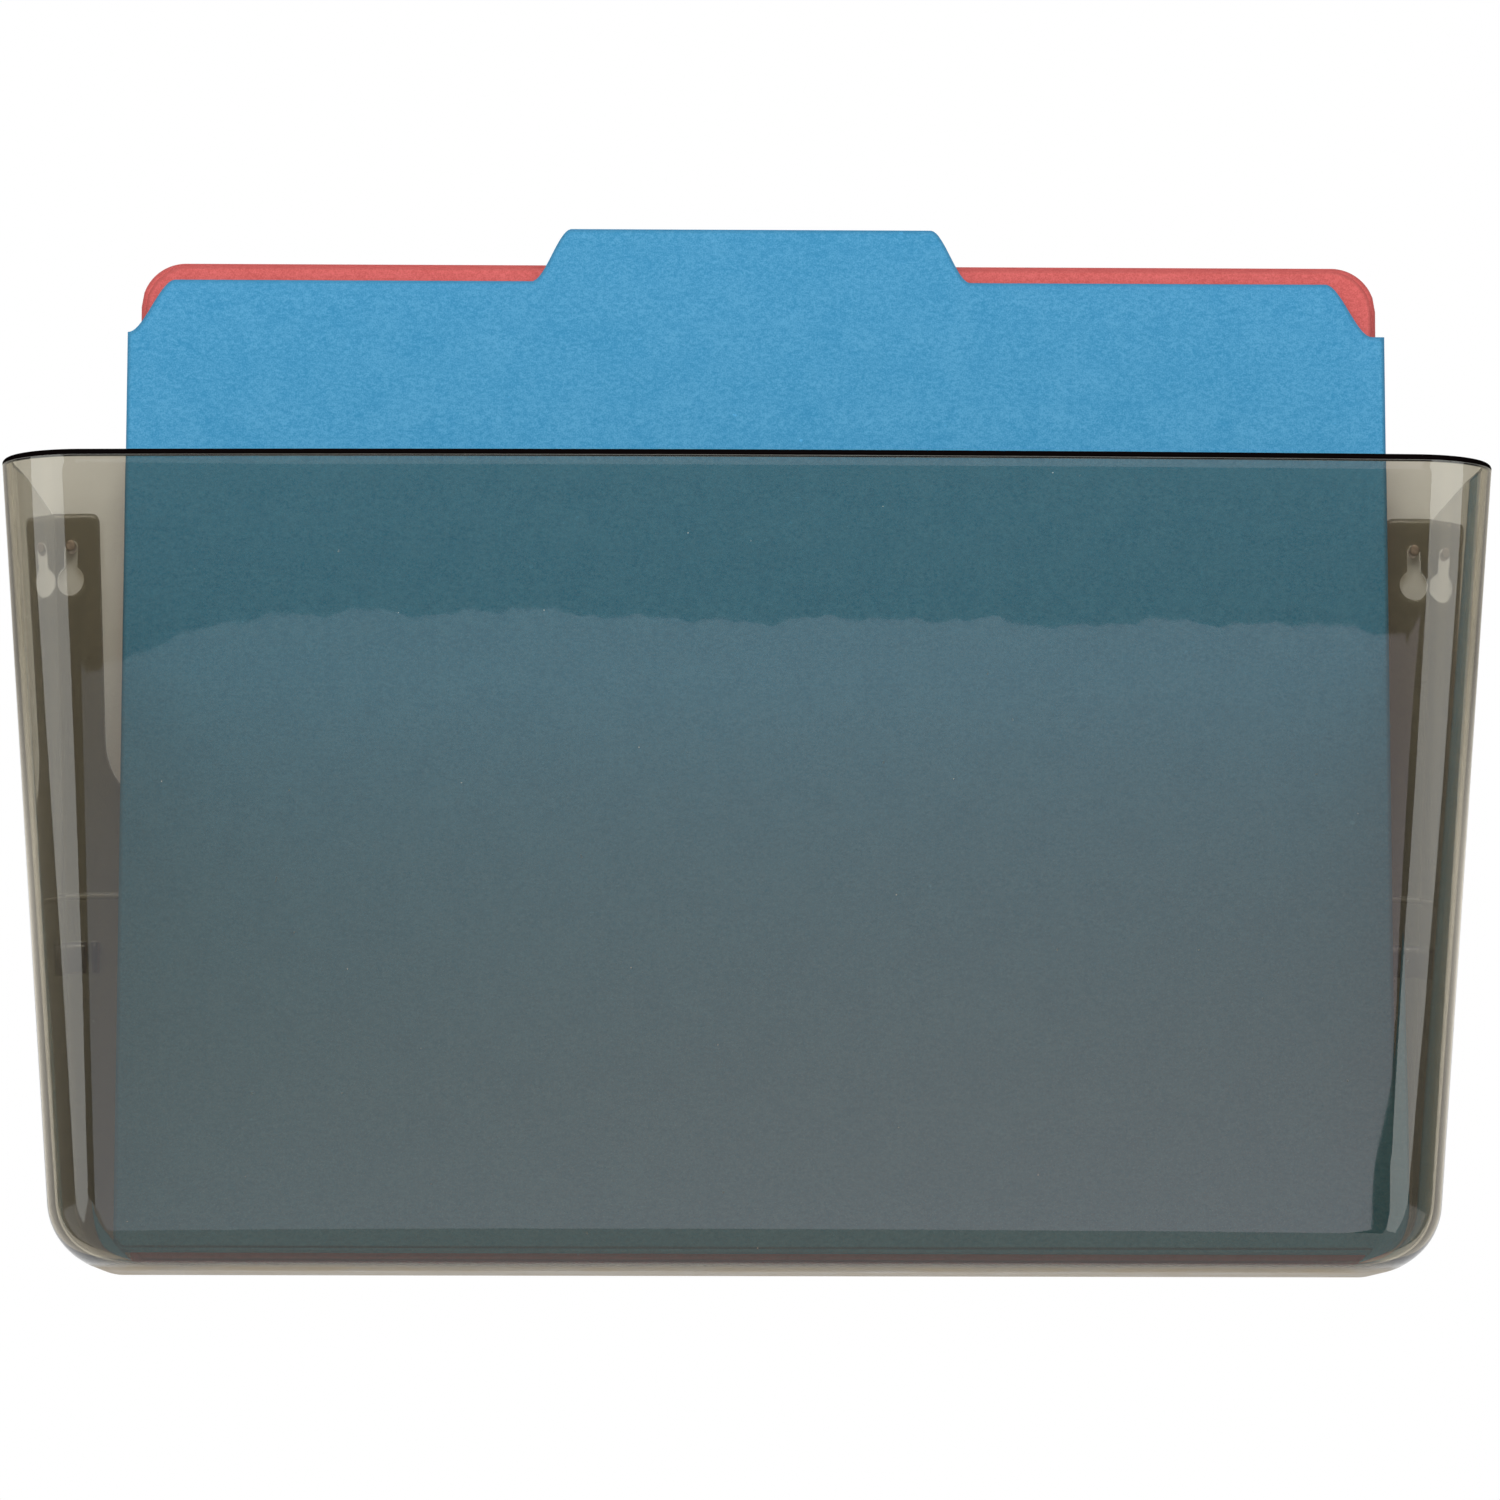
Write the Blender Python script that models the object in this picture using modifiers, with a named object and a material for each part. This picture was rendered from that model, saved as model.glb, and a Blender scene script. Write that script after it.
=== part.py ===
"""Hanging document pocket: a one-piece smoke plastic wall pocket on two pins, with two card folders in it.

Metres, +Z up. The origin is on the wall plane midway between the two hanging pins, +X is to the right
seen from the front, and +Y goes into the wall. Heights "above the base" start at the pocket's underside.
"""

import math

import bmesh
import bpy
from mathutils import Matrix, Vector

# Letter-size card folders: the blue one is full width, the red one a little narrower
CARD = 0.0004
LEAF_GAP = 0.0012
FOLDER_CORNER_RADIUS = 0.0032
BLUE_WIDTH = 0.29845
BLUE_SIDE_HEIGHT = 0.2159
BLUE_STEP = 0.0127
BLUE_STEP_START = 0.0015
BLUE_STEP_RUN = 0.0110
TAB_RISE = 0.0127
TAB_TOP_WIDTH = 0.0855
TAB_RUN = 0.0094
CUT_OFF_CENTRE = -0.0014
RED_NARROWER = 0.00445
RED_HEIGHT = 0.2356
RED_FRONT_SETBACK = 0.0011
RED_CORNER_RADIUS = 0.0105

# How the folders stand: from the right side wall at the base, and from the back plate to their folds
BLUE_SIDE_GAP = 0.0009
RED_SIDE_GAP = 0.0025
BLUE_FORWARD = 0.0114
RED_FORWARD = 0.0024

# Pocket: the moulding's walls and play round a folder, its flare and its depths
POCKET_HEIGHT = 0.180
RIM_ABOVE_PINS = 0.008
WALL = 0.0022
SIDE_PLAY = 0.0081
SIDE_FLARE = 0.0112
TOP_DEPTH = 0.1048
BASE_DEPTH = 0.0762
RIM_CORNER_RADIUS = 0.020
BASE_CORNER_RADIUS = 0.0125
FRONT_BOW = 0.003
FRONT_BASE_RADIUS = 0.008
SIDE_BASE_RADIUS_FRONT = 0.0155
SIDE_BASE_RADIUS_BACK = 0.0105

# Back plate: the open bay between its two ears
EAR_TOP_WIDTH = 0.0141
EAR_LOW_WIDTH = 0.0118
EAR_CORNER_RADIUS = 0.002
BAY_FLOOR_HEIGHT = 0.109
BAY_CORNER_RADIUS = 0.017

# Stiffening rib across the back plate, and the two small nesting lugs beside the side walls
RIB_HEIGHT_ABOVE_BASE = 0.089
RIB_WIDTH = 0.0012
RIB_PROUD = 0.0004
LUG_HEIGHT_ABOVE_BASE = 0.0745
LUG_HEIGHT = 0.0070
LUG_WIDTH = 0.0034
LUG_PROUD = 0.0012

# Keyholes and the headless pins they hang on
PIN_FROM_SIDE = 0.0071
PIN_RADIUS = 0.00135
PIN_IN_WALL = 0.018
PIN_POINT_LENGTH = 0.0035
PIN_REACH = 0.0025
PIN_EDGE_RADIUS = 0.0004
SLOT_CLEARANCE = 0.00045
EYE_RADIUS = 0.0036
EYE_DROP = 0.0080

# Clearances: touching solids keep SEAT_GAP, and cutters run past the faces they cut by OVERRUN
SEAT_GAP = 0.0003
OVERRUN = 0.002

# Counts of segments
CORNER_STEPS = 7
FRONT_STEPS = 5
SIDE_STEPS = 5
BASE_STEPS = 7
ROUND_STEPS = 24
SMALL_CORNER_STEPS = 4
OGEE_STEPS = 8

BASE_WIDTH = BLUE_WIDTH + SIDE_PLAY + 2 * WALL
TOP_WIDTH = BASE_WIDTH + 2 * SIDE_FLARE
BASE_Z = RIM_ABOVE_PINS - POCKET_HEIGHT
PLATE_FACE_Y = -WALL
PIN_X = TOP_WIDTH / 2 - PIN_FROM_SIDE
RED_WIDTH = BLUE_WIDTH - RED_NARROWER
FOLD_RADIUS = (LEAF_GAP + CARD) / 2
FOLD_OUTSIDE = FOLD_RADIUS + CARD / 2


def clear_scene():
    """Remove every object that the file starts with."""
    for obj in list(bpy.data.objects):
        bpy.data.objects.remove(obj, do_unlink=True)


def make_collection(name):
    """A new collection in the scene."""
    collection = bpy.data.collections.new(name)
    bpy.context.scene.collection.children.link(collection)
    return collection


def make_material(name, colour, roughness, metallic=0.0, transmission=0.0, ior=1.5):
    """A Principled material of one part's colour and finish."""
    material = bpy.data.materials.new(name)
    material.use_nodes = True
    shader = material.node_tree.nodes["Principled BSDF"]
    shader.inputs["Base Color"].default_value = (*colour, 1.0)
    shader.inputs["Roughness"].default_value = roughness
    shader.inputs["Metallic"].default_value = metallic
    shader.inputs["Transmission Weight"].default_value = transmission
    shader.inputs["IOR"].default_value = ior
    return material


def object_from(mesh_builder, name, collection, material=None):
    """Turn a bmesh into a named object, with its normals facing out."""
    bmesh.ops.recalc_face_normals(mesh_builder, faces=mesh_builder.faces)
    mesh = bpy.data.meshes.new(name)
    mesh_builder.to_mesh(mesh)
    mesh_builder.free()
    obj = bpy.data.objects.new(name, mesh)
    collection.objects.link(obj)
    if material:
        mesh.materials.append(material)
    return obj


def make_cutter(mesh_builder, name):
    """A helper solid for a Boolean: drawn as wire and left out of renders."""
    obj = object_from(mesh_builder, name, CUTTERS)
    obj.hide_render = True
    obj.display_type = "WIRE"
    return obj


def add_boolean(obj, other, operation):
    """Cut other from obj, or join it on, with the exact solver."""
    modifier = obj.modifiers.new(other.name, "BOOLEAN")
    modifier.operation = operation
    modifier.solver = "EXACT"
    modifier.object = other


def between(low, high, share):
    """The value at share of the way from low to high."""
    return low + (high - low) * share


def arc(centre, radius, start, end, steps):
    """Points on an arc from the start angle to the end angle, in degrees, both included."""
    angles = [math.radians(between(start, end, step / steps)) for step in range(steps + 1)]
    return [(centre[0] + radius * math.cos(a), centre[1] + radius * math.sin(a)) for a in angles]


def prism(outline, near_y, far_y):
    """A solid whose XZ outline runs straight from near_y to far_y."""
    builder = bmesh.new()
    face = builder.faces.new([builder.verts.new((x, near_y, z)) for x, z in outline])
    swept = bmesh.ops.extrude_face_region(builder, geom=[face])["geom"]
    moved = [item for item in swept if isinstance(item, bmesh.types.BMVert)]
    bmesh.ops.translate(builder, verts=moved, vec=(0, far_y - near_y, 0))
    return builder


def box(low, high):
    """A box between two corners, from the unit cube."""
    builder = bmesh.new()
    bmesh.ops.create_cube(builder, size=1)
    low, high = Vector(low), Vector(high)
    bmesh.ops.scale(builder, verts=builder.verts, vec=high - low)
    bmesh.ops.translate(builder, verts=builder.verts, vec=(low + high) / 2)
    return builder


def quarter_inset(radius, height):
    """How far a rounded bottom edge of this radius stands in at a height above its lowest line."""
    rise = radius - min(max(height, 0), radius)
    return radius - math.sqrt(max(radius * radius - rise * rise, 0))


def half_width(height):
    """Half the pocket's outside width at a height above the base, before the bottom edges round in."""
    return between(BASE_WIDTH, TOP_WIDTH, height / POCKET_HEIGHT) / 2


def side_base_radius(y):
    """Outside radius of the rounded edge between a side and the base, which grows towards the front."""
    return between(SIDE_BASE_RADIUS_BACK, SIDE_BASE_RADIUS_FRONT, -y / BASE_DEPTH)


def half_section(height, inset):
    """Half a level section of the pocket, from the middle of its front to its back.

    inset is 0 for the outside and WALL for the inside. The section has the bowed front, the round front
    corner that narrows downwards, and the side, and it draws in where the bottom edges are rounded.
    """
    share = height / POCKET_HEIGHT
    half = half_width(height) - inset
    depth = between(BASE_DEPTH, TOP_DEPTH, share) - inset
    depth -= quarter_inset(FRONT_BASE_RADIUS - inset, height - inset)
    radius = between(BASE_CORNER_RADIUS, RIM_CORNER_RADIUS, share) - inset
    bow = FRONT_BOW * share
    flat = half - radius
    shares = [i / FRONT_STEPS for i in range(FRONT_STEPS)]
    front = [(flat * across, -depth - bow * (1 - across**2)) for across in shares]
    corner = arc((flat, radius - depth), radius, -90, 0, CORNER_STEPS)
    back = -inset
    side = [(half, between(radius - depth, back, i / SIDE_STEPS)) for i in range(1, SIDE_STEPS + 1)]
    points = []
    for x, y in front + corner + side:
        drawn_in = quarter_inset(side_base_radius(y) - inset, height - inset)
        points.append((x * (1 - drawn_in / half), y))
    return points


def pocket_form(inset, top_height):
    """The closed form of the pocket's outside, or of its inside, lofted through level sections."""
    tallest = SIDE_BASE_RADIUS_FRONT - inset
    rounded = [inset + tallest * (1 - math.cos(math.pi / 2 * i / BASE_STEPS)) for i in range(BASE_STEPS + 1)]
    builder = bmesh.new()
    loops = []
    for height in rounded + [POCKET_HEIGHT / 2, top_height]:
        right = half_section(height, inset)
        left = [(-x, y) for x, y in reversed(right[1:])]
        loops.append([builder.verts.new((x, y, BASE_Z + height)) for x, y in left + right])
    for lower, upper in zip(loops, loops[1:]):
        for i in range(len(lower)):
            j = (i + 1) % len(lower)
            builder.faces.new((lower[i], lower[j], upper[j], upper[i]))
    builder.faces.new(loops[0])
    builder.faces.new(loops[-1])
    return builder


def bay_outline():
    """The open bay between the ears, in XZ: rounded in at its floor and rounded off at the ears' tops."""
    rim = RIM_ABOVE_PINS
    floor = BASE_Z + BAY_FLOOR_HEIGHT
    top_half = TOP_WIDTH / 2 - EAR_TOP_WIDTH
    low_half = half_width(BAY_FLOOR_HEIGHT) - EAR_LOW_WIDTH
    ear_centre = (top_half + EAR_CORNER_RADIUS, rim - EAR_CORNER_RADIUS)
    ear = arc(ear_centre, EAR_CORNER_RADIUS, 90, 180, SMALL_CORNER_STEPS)
    corner_centre = (low_half - BAY_CORNER_RADIUS, floor + BAY_CORNER_RADIUS)
    corner = arc(corner_centre, BAY_CORNER_RADIUS, 0, -90, CORNER_STEPS)
    right = [(ear_centre[0], rim + OVERRUN)] + ear + corner
    return right + [(-x, z) for x, z in reversed(right)]


def keyhole_outline(x):
    """A keyhole in XZ: a round eye, and above it a slot whose top bears on the pin."""
    slot_half = PIN_RADIUS + SLOT_CLEARANCE
    opening = math.degrees(math.asin(slot_half / EYE_RADIUS))
    eye = arc((x, -EYE_DROP), EYE_RADIUS, 90 - opening, -270 + opening, ROUND_STEPS)
    slot_centre = PIN_RADIUS + SEAT_GAP - slot_half
    slot = arc((x, slot_centre), slot_half, 180, 0, ROUND_STEPS // 2)
    return eye + slot


def make_pocket(material):
    """The one-piece moulding: walls, ears, rib, lugs and keyholes."""
    pocket = object_from(pocket_form(0, POCKET_HEIGHT), "pocket_shell", PARTS, material)
    cavity = make_cutter(pocket_form(WALL, POCKET_HEIGHT + OVERRUN), "cavity_cutter")
    add_boolean(pocket, cavity, "DIFFERENCE")
    bay = make_cutter(prism(bay_outline(), PLATE_FACE_Y - OVERRUN, OVERRUN), "bay_cutter")
    add_boolean(pocket, bay, "DIFFERENCE")

    rib_z = BASE_Z + RIB_HEIGHT_ABOVE_BASE
    rib_half = half_width(RIB_HEIGHT_ABOVE_BASE) - WALL / 2
    rib_low = (-rib_half, PLATE_FACE_Y - RIB_PROUD, rib_z - RIB_WIDTH / 2)
    rib_high = (rib_half, PLATE_FACE_Y / 2, rib_z + RIB_WIDTH / 2)
    add_boolean(pocket, make_cutter(box(rib_low, rib_high), "rib_form"), "UNION")

    lug_z = BASE_Z + LUG_HEIGHT_ABOVE_BASE
    lug_outside = half_width(LUG_HEIGHT_ABOVE_BASE) - WALL / 2
    lug_inside = half_width(LUG_HEIGHT_ABOVE_BASE) - WALL - LUG_WIDTH
    for name, side in (("left", -1), ("right", 1)):
        ends = sorted((side * lug_inside, side * lug_outside))
        low = (ends[0], PLATE_FACE_Y - LUG_PROUD, lug_z - LUG_HEIGHT / 2)
        high = (ends[1], PLATE_FACE_Y / 2, lug_z + LUG_HEIGHT / 2)
        add_boolean(pocket, make_cutter(box(low, high), f"lug_form_{name}"), "UNION")
        outline = keyhole_outline(side * PIN_X)
        keyhole = make_cutter(prism(outline, PLATE_FACE_Y - OVERRUN, OVERRUN), f"keyhole_cutter_{name}")
        add_boolean(pocket, keyhole, "DIFFERENCE")
    return pocket


def make_pin(name, x, material):
    """A headless pin along Y: a point in the wall, a shank, and a softened end in front of the plate."""
    front = PLATE_FACE_Y - PIN_REACH
    profile = [
        (0, front),
        (PIN_RADIUS - PIN_EDGE_RADIUS, front),
        (PIN_RADIUS, front + PIN_EDGE_RADIUS),
        (PIN_RADIUS, PIN_IN_WALL - PIN_POINT_LENGTH),
        (0, PIN_IN_WALL),
    ]
    builder = bmesh.new()
    points = [builder.verts.new((radius, 0, along)) for radius, along in profile]
    for start, end in zip(points, points[1:]):
        builder.edges.new((start, end))
    turned = list(builder.verts) + list(builder.edges)
    spin = {"cent": (0, 0, 0), "axis": (0, 0, 1), "angle": math.tau, "steps": ROUND_STEPS}
    bmesh.ops.spin(builder, geom=turned, **spin)
    bmesh.ops.remove_doubles(builder, verts=builder.verts, dist=PIN_EDGE_RADIUS / 100)
    bmesh.ops.rotate(builder, verts=builder.verts, matrix=Matrix.Rotation(-math.pi / 2, 3, "X"))
    pin = object_from(builder, name, PARTS, material)
    pin.location = (x, 0, 0)
    return pin


def ogee(share):
    """A smooth S from 0 to 1."""
    share = min(max(share, 0), 1)
    return share * share * (3 - 2 * share)


def blue_edge(x, tab):
    """Height of the blue leaf's top edge at x: low ends, an ogee step, and the centre tab if it has one.

    The die that cut the steps and the tab lay a little off the sheet's centre.
    """
    across = abs(x - CUT_OFF_CENTRE)
    height = BLUE_SIDE_HEIGHT
    if tab:
        height += BLUE_STEP * ogee((BLUE_WIDTH / 2 - across - BLUE_STEP_START) / BLUE_STEP_RUN)
        height += TAB_RISE * ogee((TAB_TOP_WIDTH / 2 + TAB_RUN - across) / TAB_RUN)
    return height


def both_sides(places, half, centre):
    """Places along a leaf's width on both sides of a centre, in order, with the leaf's two ends."""
    found = {centre - x for x in places} | {centre + x for x in places}
    return sorted({x for x in found if abs(x) < half} | {-half, half})


def blue_columns(tab):
    """The places along a blue leaf's width where its edge is given."""
    half = BLUE_WIDTH / 2
    if not tab:
        return [-half, half]
    shares = [i / OGEE_STEPS for i in range(OGEE_STEPS + 1)]
    tab_places = [TAB_TOP_WIDTH / 2 + TAB_RUN * share for share in shares]
    step_places = [half - BLUE_STEP_START - BLUE_STEP_RUN * share for share in shares]
    return both_sides(tab_places + step_places, half, CUT_OFF_CENTRE)


def red_columns(half):
    """The places along a red leaf's width, closer together round its corners."""
    turned = [math.pi / 2 * i / OGEE_STEPS for i in range(OGEE_STEPS)]
    return both_sides([half - RED_CORNER_RADIUS * (1 - math.sin(angle)) for angle in turned], half, 0)


def red_edge(x, half, height):
    """Height of a red leaf's top edge at x: straight, with a round corner at each end."""
    return height - quarter_inset(RED_CORNER_RADIUS, half - abs(x))


def card_sheet(name, columns, top_edge, path, material):
    """One leaf of folded card, as an open sheet with Solidify.

    columns are places across its width, top_edge gives its height there, and path is the part of its
    lower profile, (y, z), that it follows before it runs straight up to its top edge.
    """
    half = max(columns)
    lowest = min(z for _, z in path) - CARD / 2
    upright = path[-1][0]
    turned = [math.pi / 2 * i / SMALL_CORNER_STEPS for i in range(1, SMALL_CORNER_STEPS + 1)]
    risen = [lowest + FOLDER_CORNER_RADIUS * (1 - math.cos(angle)) for angle in turned]
    rows = path + [(upright, z) for z in risen if z > path[-1][1] + CARD / 2]
    builder = bmesh.new()
    grid = []
    for y, z in rows:
        narrowed = 1 - quarter_inset(FOLDER_CORNER_RADIUS, z - lowest) / half
        grid.append([builder.verts.new((x * narrowed, y, z)) for x in columns])
    grid.append([builder.verts.new((x, upright, top_edge(x))) for x in columns])
    for lower, upper in zip(grid, grid[1:]):
        for i in range(len(columns) - 1):
            builder.faces.new((lower[i], lower[i + 1], upper[i + 1], upper[i]))
    leaf = object_from(builder, name, PARTS, material)
    solidify = leaf.modifiers.new("card_thickness", "SOLIDIFY")
    solidify.thickness = CARD
    solidify.offset = 0
    solidify.use_even_offset = True
    return leaf


def make_folder(names, columns, edges, place, lean, material):
    """A folder of two leaves: the rear one carries the fold, and the front one turns on the fold's end."""
    rear_name, front_name, root_name = names
    root = bpy.data.objects.new(root_name, None)
    PARTS.objects.link(root)
    root.location = place
    root.rotation_euler = (-lean, 0, 0)
    fold = arc((0, 0), FOLD_RADIUS, 180, 360, ROUND_STEPS // 4)
    rear = card_sheet(rear_name, columns[0], edges[0], fold, material)
    rear.parent = root
    hinge = bpy.data.objects.new(f"{front_name}_hinge", None)
    PARTS.objects.link(hinge)
    hinge.parent = root
    hinge.location = (0, -FOLD_RADIUS, SEAT_GAP)
    front = card_sheet(front_name, columns[1], edges[1], [(0, 0)], material)
    front.parent = hinge
    return root, hinge


def rest_lean(from_y, from_z, to_y, to_z):
    """The lean, in radians, of a back face that starts at one point and passes another."""
    return math.atan2(to_y - from_y, to_z - from_z)


def standing_place(width, side_gap, y):
    """Where a folder's fold lies: its middle in x, and its height with a lower corner on the base's curve.

    The folder's round corner touches the inside curve between the side and the base from within, so the
    centres of the two arcs lie their difference in radius apart.
    """
    inside = BASE_WIDTH / 2 - WALL
    middle = inside - side_gap - width / 2
    curve = side_base_radius(y) - WALL
    across = max(curve - side_gap - FOLDER_CORNER_RADIUS, 0)
    apart = curve - FOLDER_CORNER_RADIUS - SEAT_GAP
    below = math.sqrt(max(apart * apart - across * across, 0))
    lowest = WALL + curve - below - FOLDER_CORNER_RADIUS
    return middle, BASE_Z + lowest + FOLD_OUTSIDE


def make_folders(blue_card, red_card):
    """The red folder leans on the back plate's rib, and the blue one on the red one's top edge."""
    red_y = PLATE_FACE_Y - RED_FORWARD
    red_x, red_z = standing_place(RED_WIDTH, RED_SIDE_GAP, red_y)
    rib_contact_y = PLATE_FACE_Y - RIB_PROUD - SEAT_GAP
    rib_top_z = BASE_Z + RIB_HEIGHT_ABOVE_BASE + RIB_WIDTH / 2
    red_lean = rest_lean(red_y + FOLD_OUTSIDE, red_z, rib_contact_y, rib_top_z)
    rear_half = RED_WIDTH / 2
    front_half = rear_half - RED_FRONT_SETBACK
    front_height = RED_HEIGHT - RED_FRONT_SETBACK
    red_root, _ = make_folder(
        ("red_folder_rear_leaf", "red_folder_front_leaf", "red_folder_slide"),
        (red_columns(rear_half), red_columns(front_half)),
        (lambda x: red_edge(x, rear_half, RED_HEIGHT), lambda x: red_edge(x, front_half, front_height)),
        (red_x, red_y, red_z),
        red_lean,
        red_card,
    )

    red_top_y = red_y - FOLD_OUTSIDE + math.sin(red_lean) * RED_HEIGHT
    red_top_z = red_z + math.cos(red_lean) * RED_HEIGHT
    blue_y = PLATE_FACE_Y - BLUE_FORWARD
    blue_x, blue_z = standing_place(BLUE_WIDTH, BLUE_SIDE_GAP, blue_y)
    blue_lean = rest_lean(blue_y + FOLD_OUTSIDE, blue_z, red_top_y - SEAT_GAP, red_top_z)
    blue_root, blue_hinge = make_folder(
        ("blue_folder_rear_leaf", "blue_folder_tab_leaf", "blue_folder_slide"),
        (blue_columns(False), blue_columns(True)),
        (lambda x: blue_edge(x, False), lambda x: blue_edge(x, True)),
        (blue_x, blue_y, blue_z),
        blue_lean,
        blue_card,
    )
    return red_root, blue_root, blue_hinge


clear_scene()
PARTS = make_collection("hanging_document_pocket")
CUTTERS = make_collection("cutters")

SMOKE = make_material("smoke_plastic", (0.42, 0.38, 0.30), 0.06, transmission=0.9, ior=1.58)
BLUE = make_material("blue_card", (0.065, 0.32, 0.53), 0.7)
RED = make_material("red_card", (0.65, 0.13, 0.12), 0.7)
STEEL = make_material("pin_steel", (0.20, 0.13, 0.10), 0.35, metallic=1.0)

make_pocket(SMOKE)
make_pin("hanging_pin_left", -PIN_X, STEEL)
make_pin("hanging_pin_right", PIN_X, STEEL)
RED_ROOT, BLUE_ROOT, BLUE_HINGE = make_folders(BLUE, RED)

bpy.context.view_layer.update()
UP = Vector((0, 0, 1))
for moving in (RED_ROOT, BLUE_ROOT, BLUE_HINGE):
    turned_up = moving.matrix_world.to_3x3() @ UP
    print(moving.name, "at", tuple(moving.matrix_world.translation), "up", tuple(turned_up))
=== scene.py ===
# %% [markdown]
# # A hanging document pocket in smoke plastic
#
# This lesson dresses a finished CAD model: a see-through wall pocket that hangs by two keyholes on two
# pins, with a blue tabbed folder in front of a red one. The model comes in as a fixed frame, in metres,
# with +Z up, +X to the right seen from the front, and +Y going into the wall. Every new surface is worked
# out with numpy in that same frame, so nothing has to be fitted afterwards.

import math

import bmesh
import bpy
import numpy as np
from mathutils import Matrix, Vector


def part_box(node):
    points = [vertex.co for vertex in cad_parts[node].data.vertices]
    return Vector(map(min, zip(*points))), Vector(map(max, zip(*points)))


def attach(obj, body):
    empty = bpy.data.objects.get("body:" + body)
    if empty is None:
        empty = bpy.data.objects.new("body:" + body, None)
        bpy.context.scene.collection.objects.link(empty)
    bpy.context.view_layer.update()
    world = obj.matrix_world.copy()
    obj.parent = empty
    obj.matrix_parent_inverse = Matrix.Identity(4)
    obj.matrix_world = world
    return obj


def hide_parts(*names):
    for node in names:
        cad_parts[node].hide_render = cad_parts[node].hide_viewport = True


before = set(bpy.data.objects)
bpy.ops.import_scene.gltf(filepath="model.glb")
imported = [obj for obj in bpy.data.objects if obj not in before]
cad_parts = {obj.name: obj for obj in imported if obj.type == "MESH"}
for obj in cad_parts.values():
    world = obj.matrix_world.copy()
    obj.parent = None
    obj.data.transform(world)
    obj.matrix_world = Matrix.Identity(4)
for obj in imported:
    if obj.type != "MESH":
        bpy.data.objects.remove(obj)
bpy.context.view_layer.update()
scene = bpy.context.scene
scene.view_settings.view_transform = "Standard"
print("CAD nodes:", sorted(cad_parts))

# %% [markdown]
# ## The camera
#
# The photograph was taken from a little below the pocket's base, and the camera was tipped up by almost
# six degrees. That is why the rim shows from below and why both folders narrow slightly towards the top.
# Its place, turn and lens were found by fitting eleven named points of the pocket and the folders and the
# outline of both sides, so the camera needs no lens shift and keeps the object centred in other views.

# %% Place the camera
camera_data = bpy.data.cameras.new("photo_camera")
camera_data.sensor_width = 36
camera_data.lens = 144.88
camera_data.clip_start = 0.05
camera_data.clip_end = 50
camera = bpy.data.objects.new("photo_camera", camera_data)
scene.collection.objects.link(camera)
to_the_right = Matrix.Rotation(math.radians(-0.8366), 3, "Z")
tipped_up = Matrix.Rotation(math.radians(5.7831), 3, "X")
leaning = Matrix.Rotation(math.radians(-0.1048), 3, "Y")
level_view = Matrix.Rotation(math.radians(90), 3, "X")
camera.location = (-0.0190, -1.4229, -0.1919)
camera.rotation_euler = (to_the_right @ tipped_up @ leaning @ level_view).to_euler()
scene.camera = camera
print("camera stands", round(-camera.location.y, 3), "m in front of the wall")

# %% [markdown]
# ## Grids of points into one closed mesh
#
# Each surface below is a grid: rows and columns of points from one formula. A closed body is several such
# grids that share their edges. Joining the points that coincide makes them one skin, and a skin with two
# faces at every edge has an inside, which the shader of see-through plastic needs.

# %% Helpers that turn grids into a mesh
def face_corners(rows, columns):
    """The four corner numbers of every face between neighbouring rows and columns of a grid of points."""
    number = np.arange(rows * columns).reshape(rows, columns)
    corners = [number[:-1, :-1], number[:-1, 1:], number[1:, 1:], number[1:, :-1]]
    return np.stack(corners, axis=-1).reshape(-1, 4)


def blend(start, end, share):
    """The value at a share of the way from start to end."""
    return start + (end - start) * share


def ease(value, start, end):
    """A smooth step: 0 up to start, 1 from end on, and the curve t*t*(3 - 2t) between them."""
    t = np.clip((value - start) / (end - start), 0, 1)
    return t * t * (3 - 2 * t)


def points(*coordinates):
    """Points from arrays or single values of their coordinates, which are repeated where needed."""
    return np.stack(np.broadcast_arrays(*coordinates), axis=-1)


def skin_from_grids(name, grids, join=1e-6):
    """One mesh object from grids of points, each rows x columns x 3, joined where points coincide."""
    sizes = [grid.shape[0] * grid.shape[1] for grid in grids]
    starts = np.concatenate([[0], np.cumsum(sizes)[:-1]])
    corners = np.concatenate([grid.reshape(-1, 3) for grid in grids])
    faces = [face_corners(*grid.shape[:2]) + start for grid, start in zip(grids, starts)]
    mesh = bpy.data.meshes.new(name)
    mesh.from_pydata(corners.tolist(), [], np.concatenate(faces).tolist())
    skin = bmesh.new()
    skin.from_mesh(mesh)
    bmesh.ops.remove_doubles(skin, verts=skin.verts, dist=join)
    bmesh.ops.recalc_face_normals(skin, faces=skin.faces)
    loose = sum(1 for edge in skin.edges if len(edge.link_faces) != 2)
    skin.to_mesh(mesh)
    skin.free()
    mesh.shade_smooth()
    obj = bpy.data.objects.new(name, mesh)
    scene.collection.objects.link(obj)
    print(name, "has", len(mesh.polygons), "faces,", loose, "open or shared edges")
    return obj


def mirrored(grid):
    """The same grid on the other side of the pocket, with x turned round."""
    return grid * np.array([-1.0, 1.0, 1.0])


# %% [markdown]
# ## The moulding's measures
#
# The pocket is one moulding with walls 2.2 mm thick. It flares upwards, its front leans out by nine
# degrees and bows a little, and its upright front corners open from a 12.5 mm radius at the base to 20 mm
# at the rim. Below, a height is always measured from the underside, and an inset of one wall gives the
# inside surface from the same formulas as the outside. Only the inside curves of the front corners are a
# little tighter than concentric ones, most of all at the base, because the core of the mould is sharper.
# Where a wall bends, its two faces work as a weak lens, and these curves set how far the keyholes and the
# cards' edges seem to shift behind it. Behind the front's rounded foot nothing seems to shift at all, so
# there the inside takes the outside's slope a little higher up, just where the bent light comes out.

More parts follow.
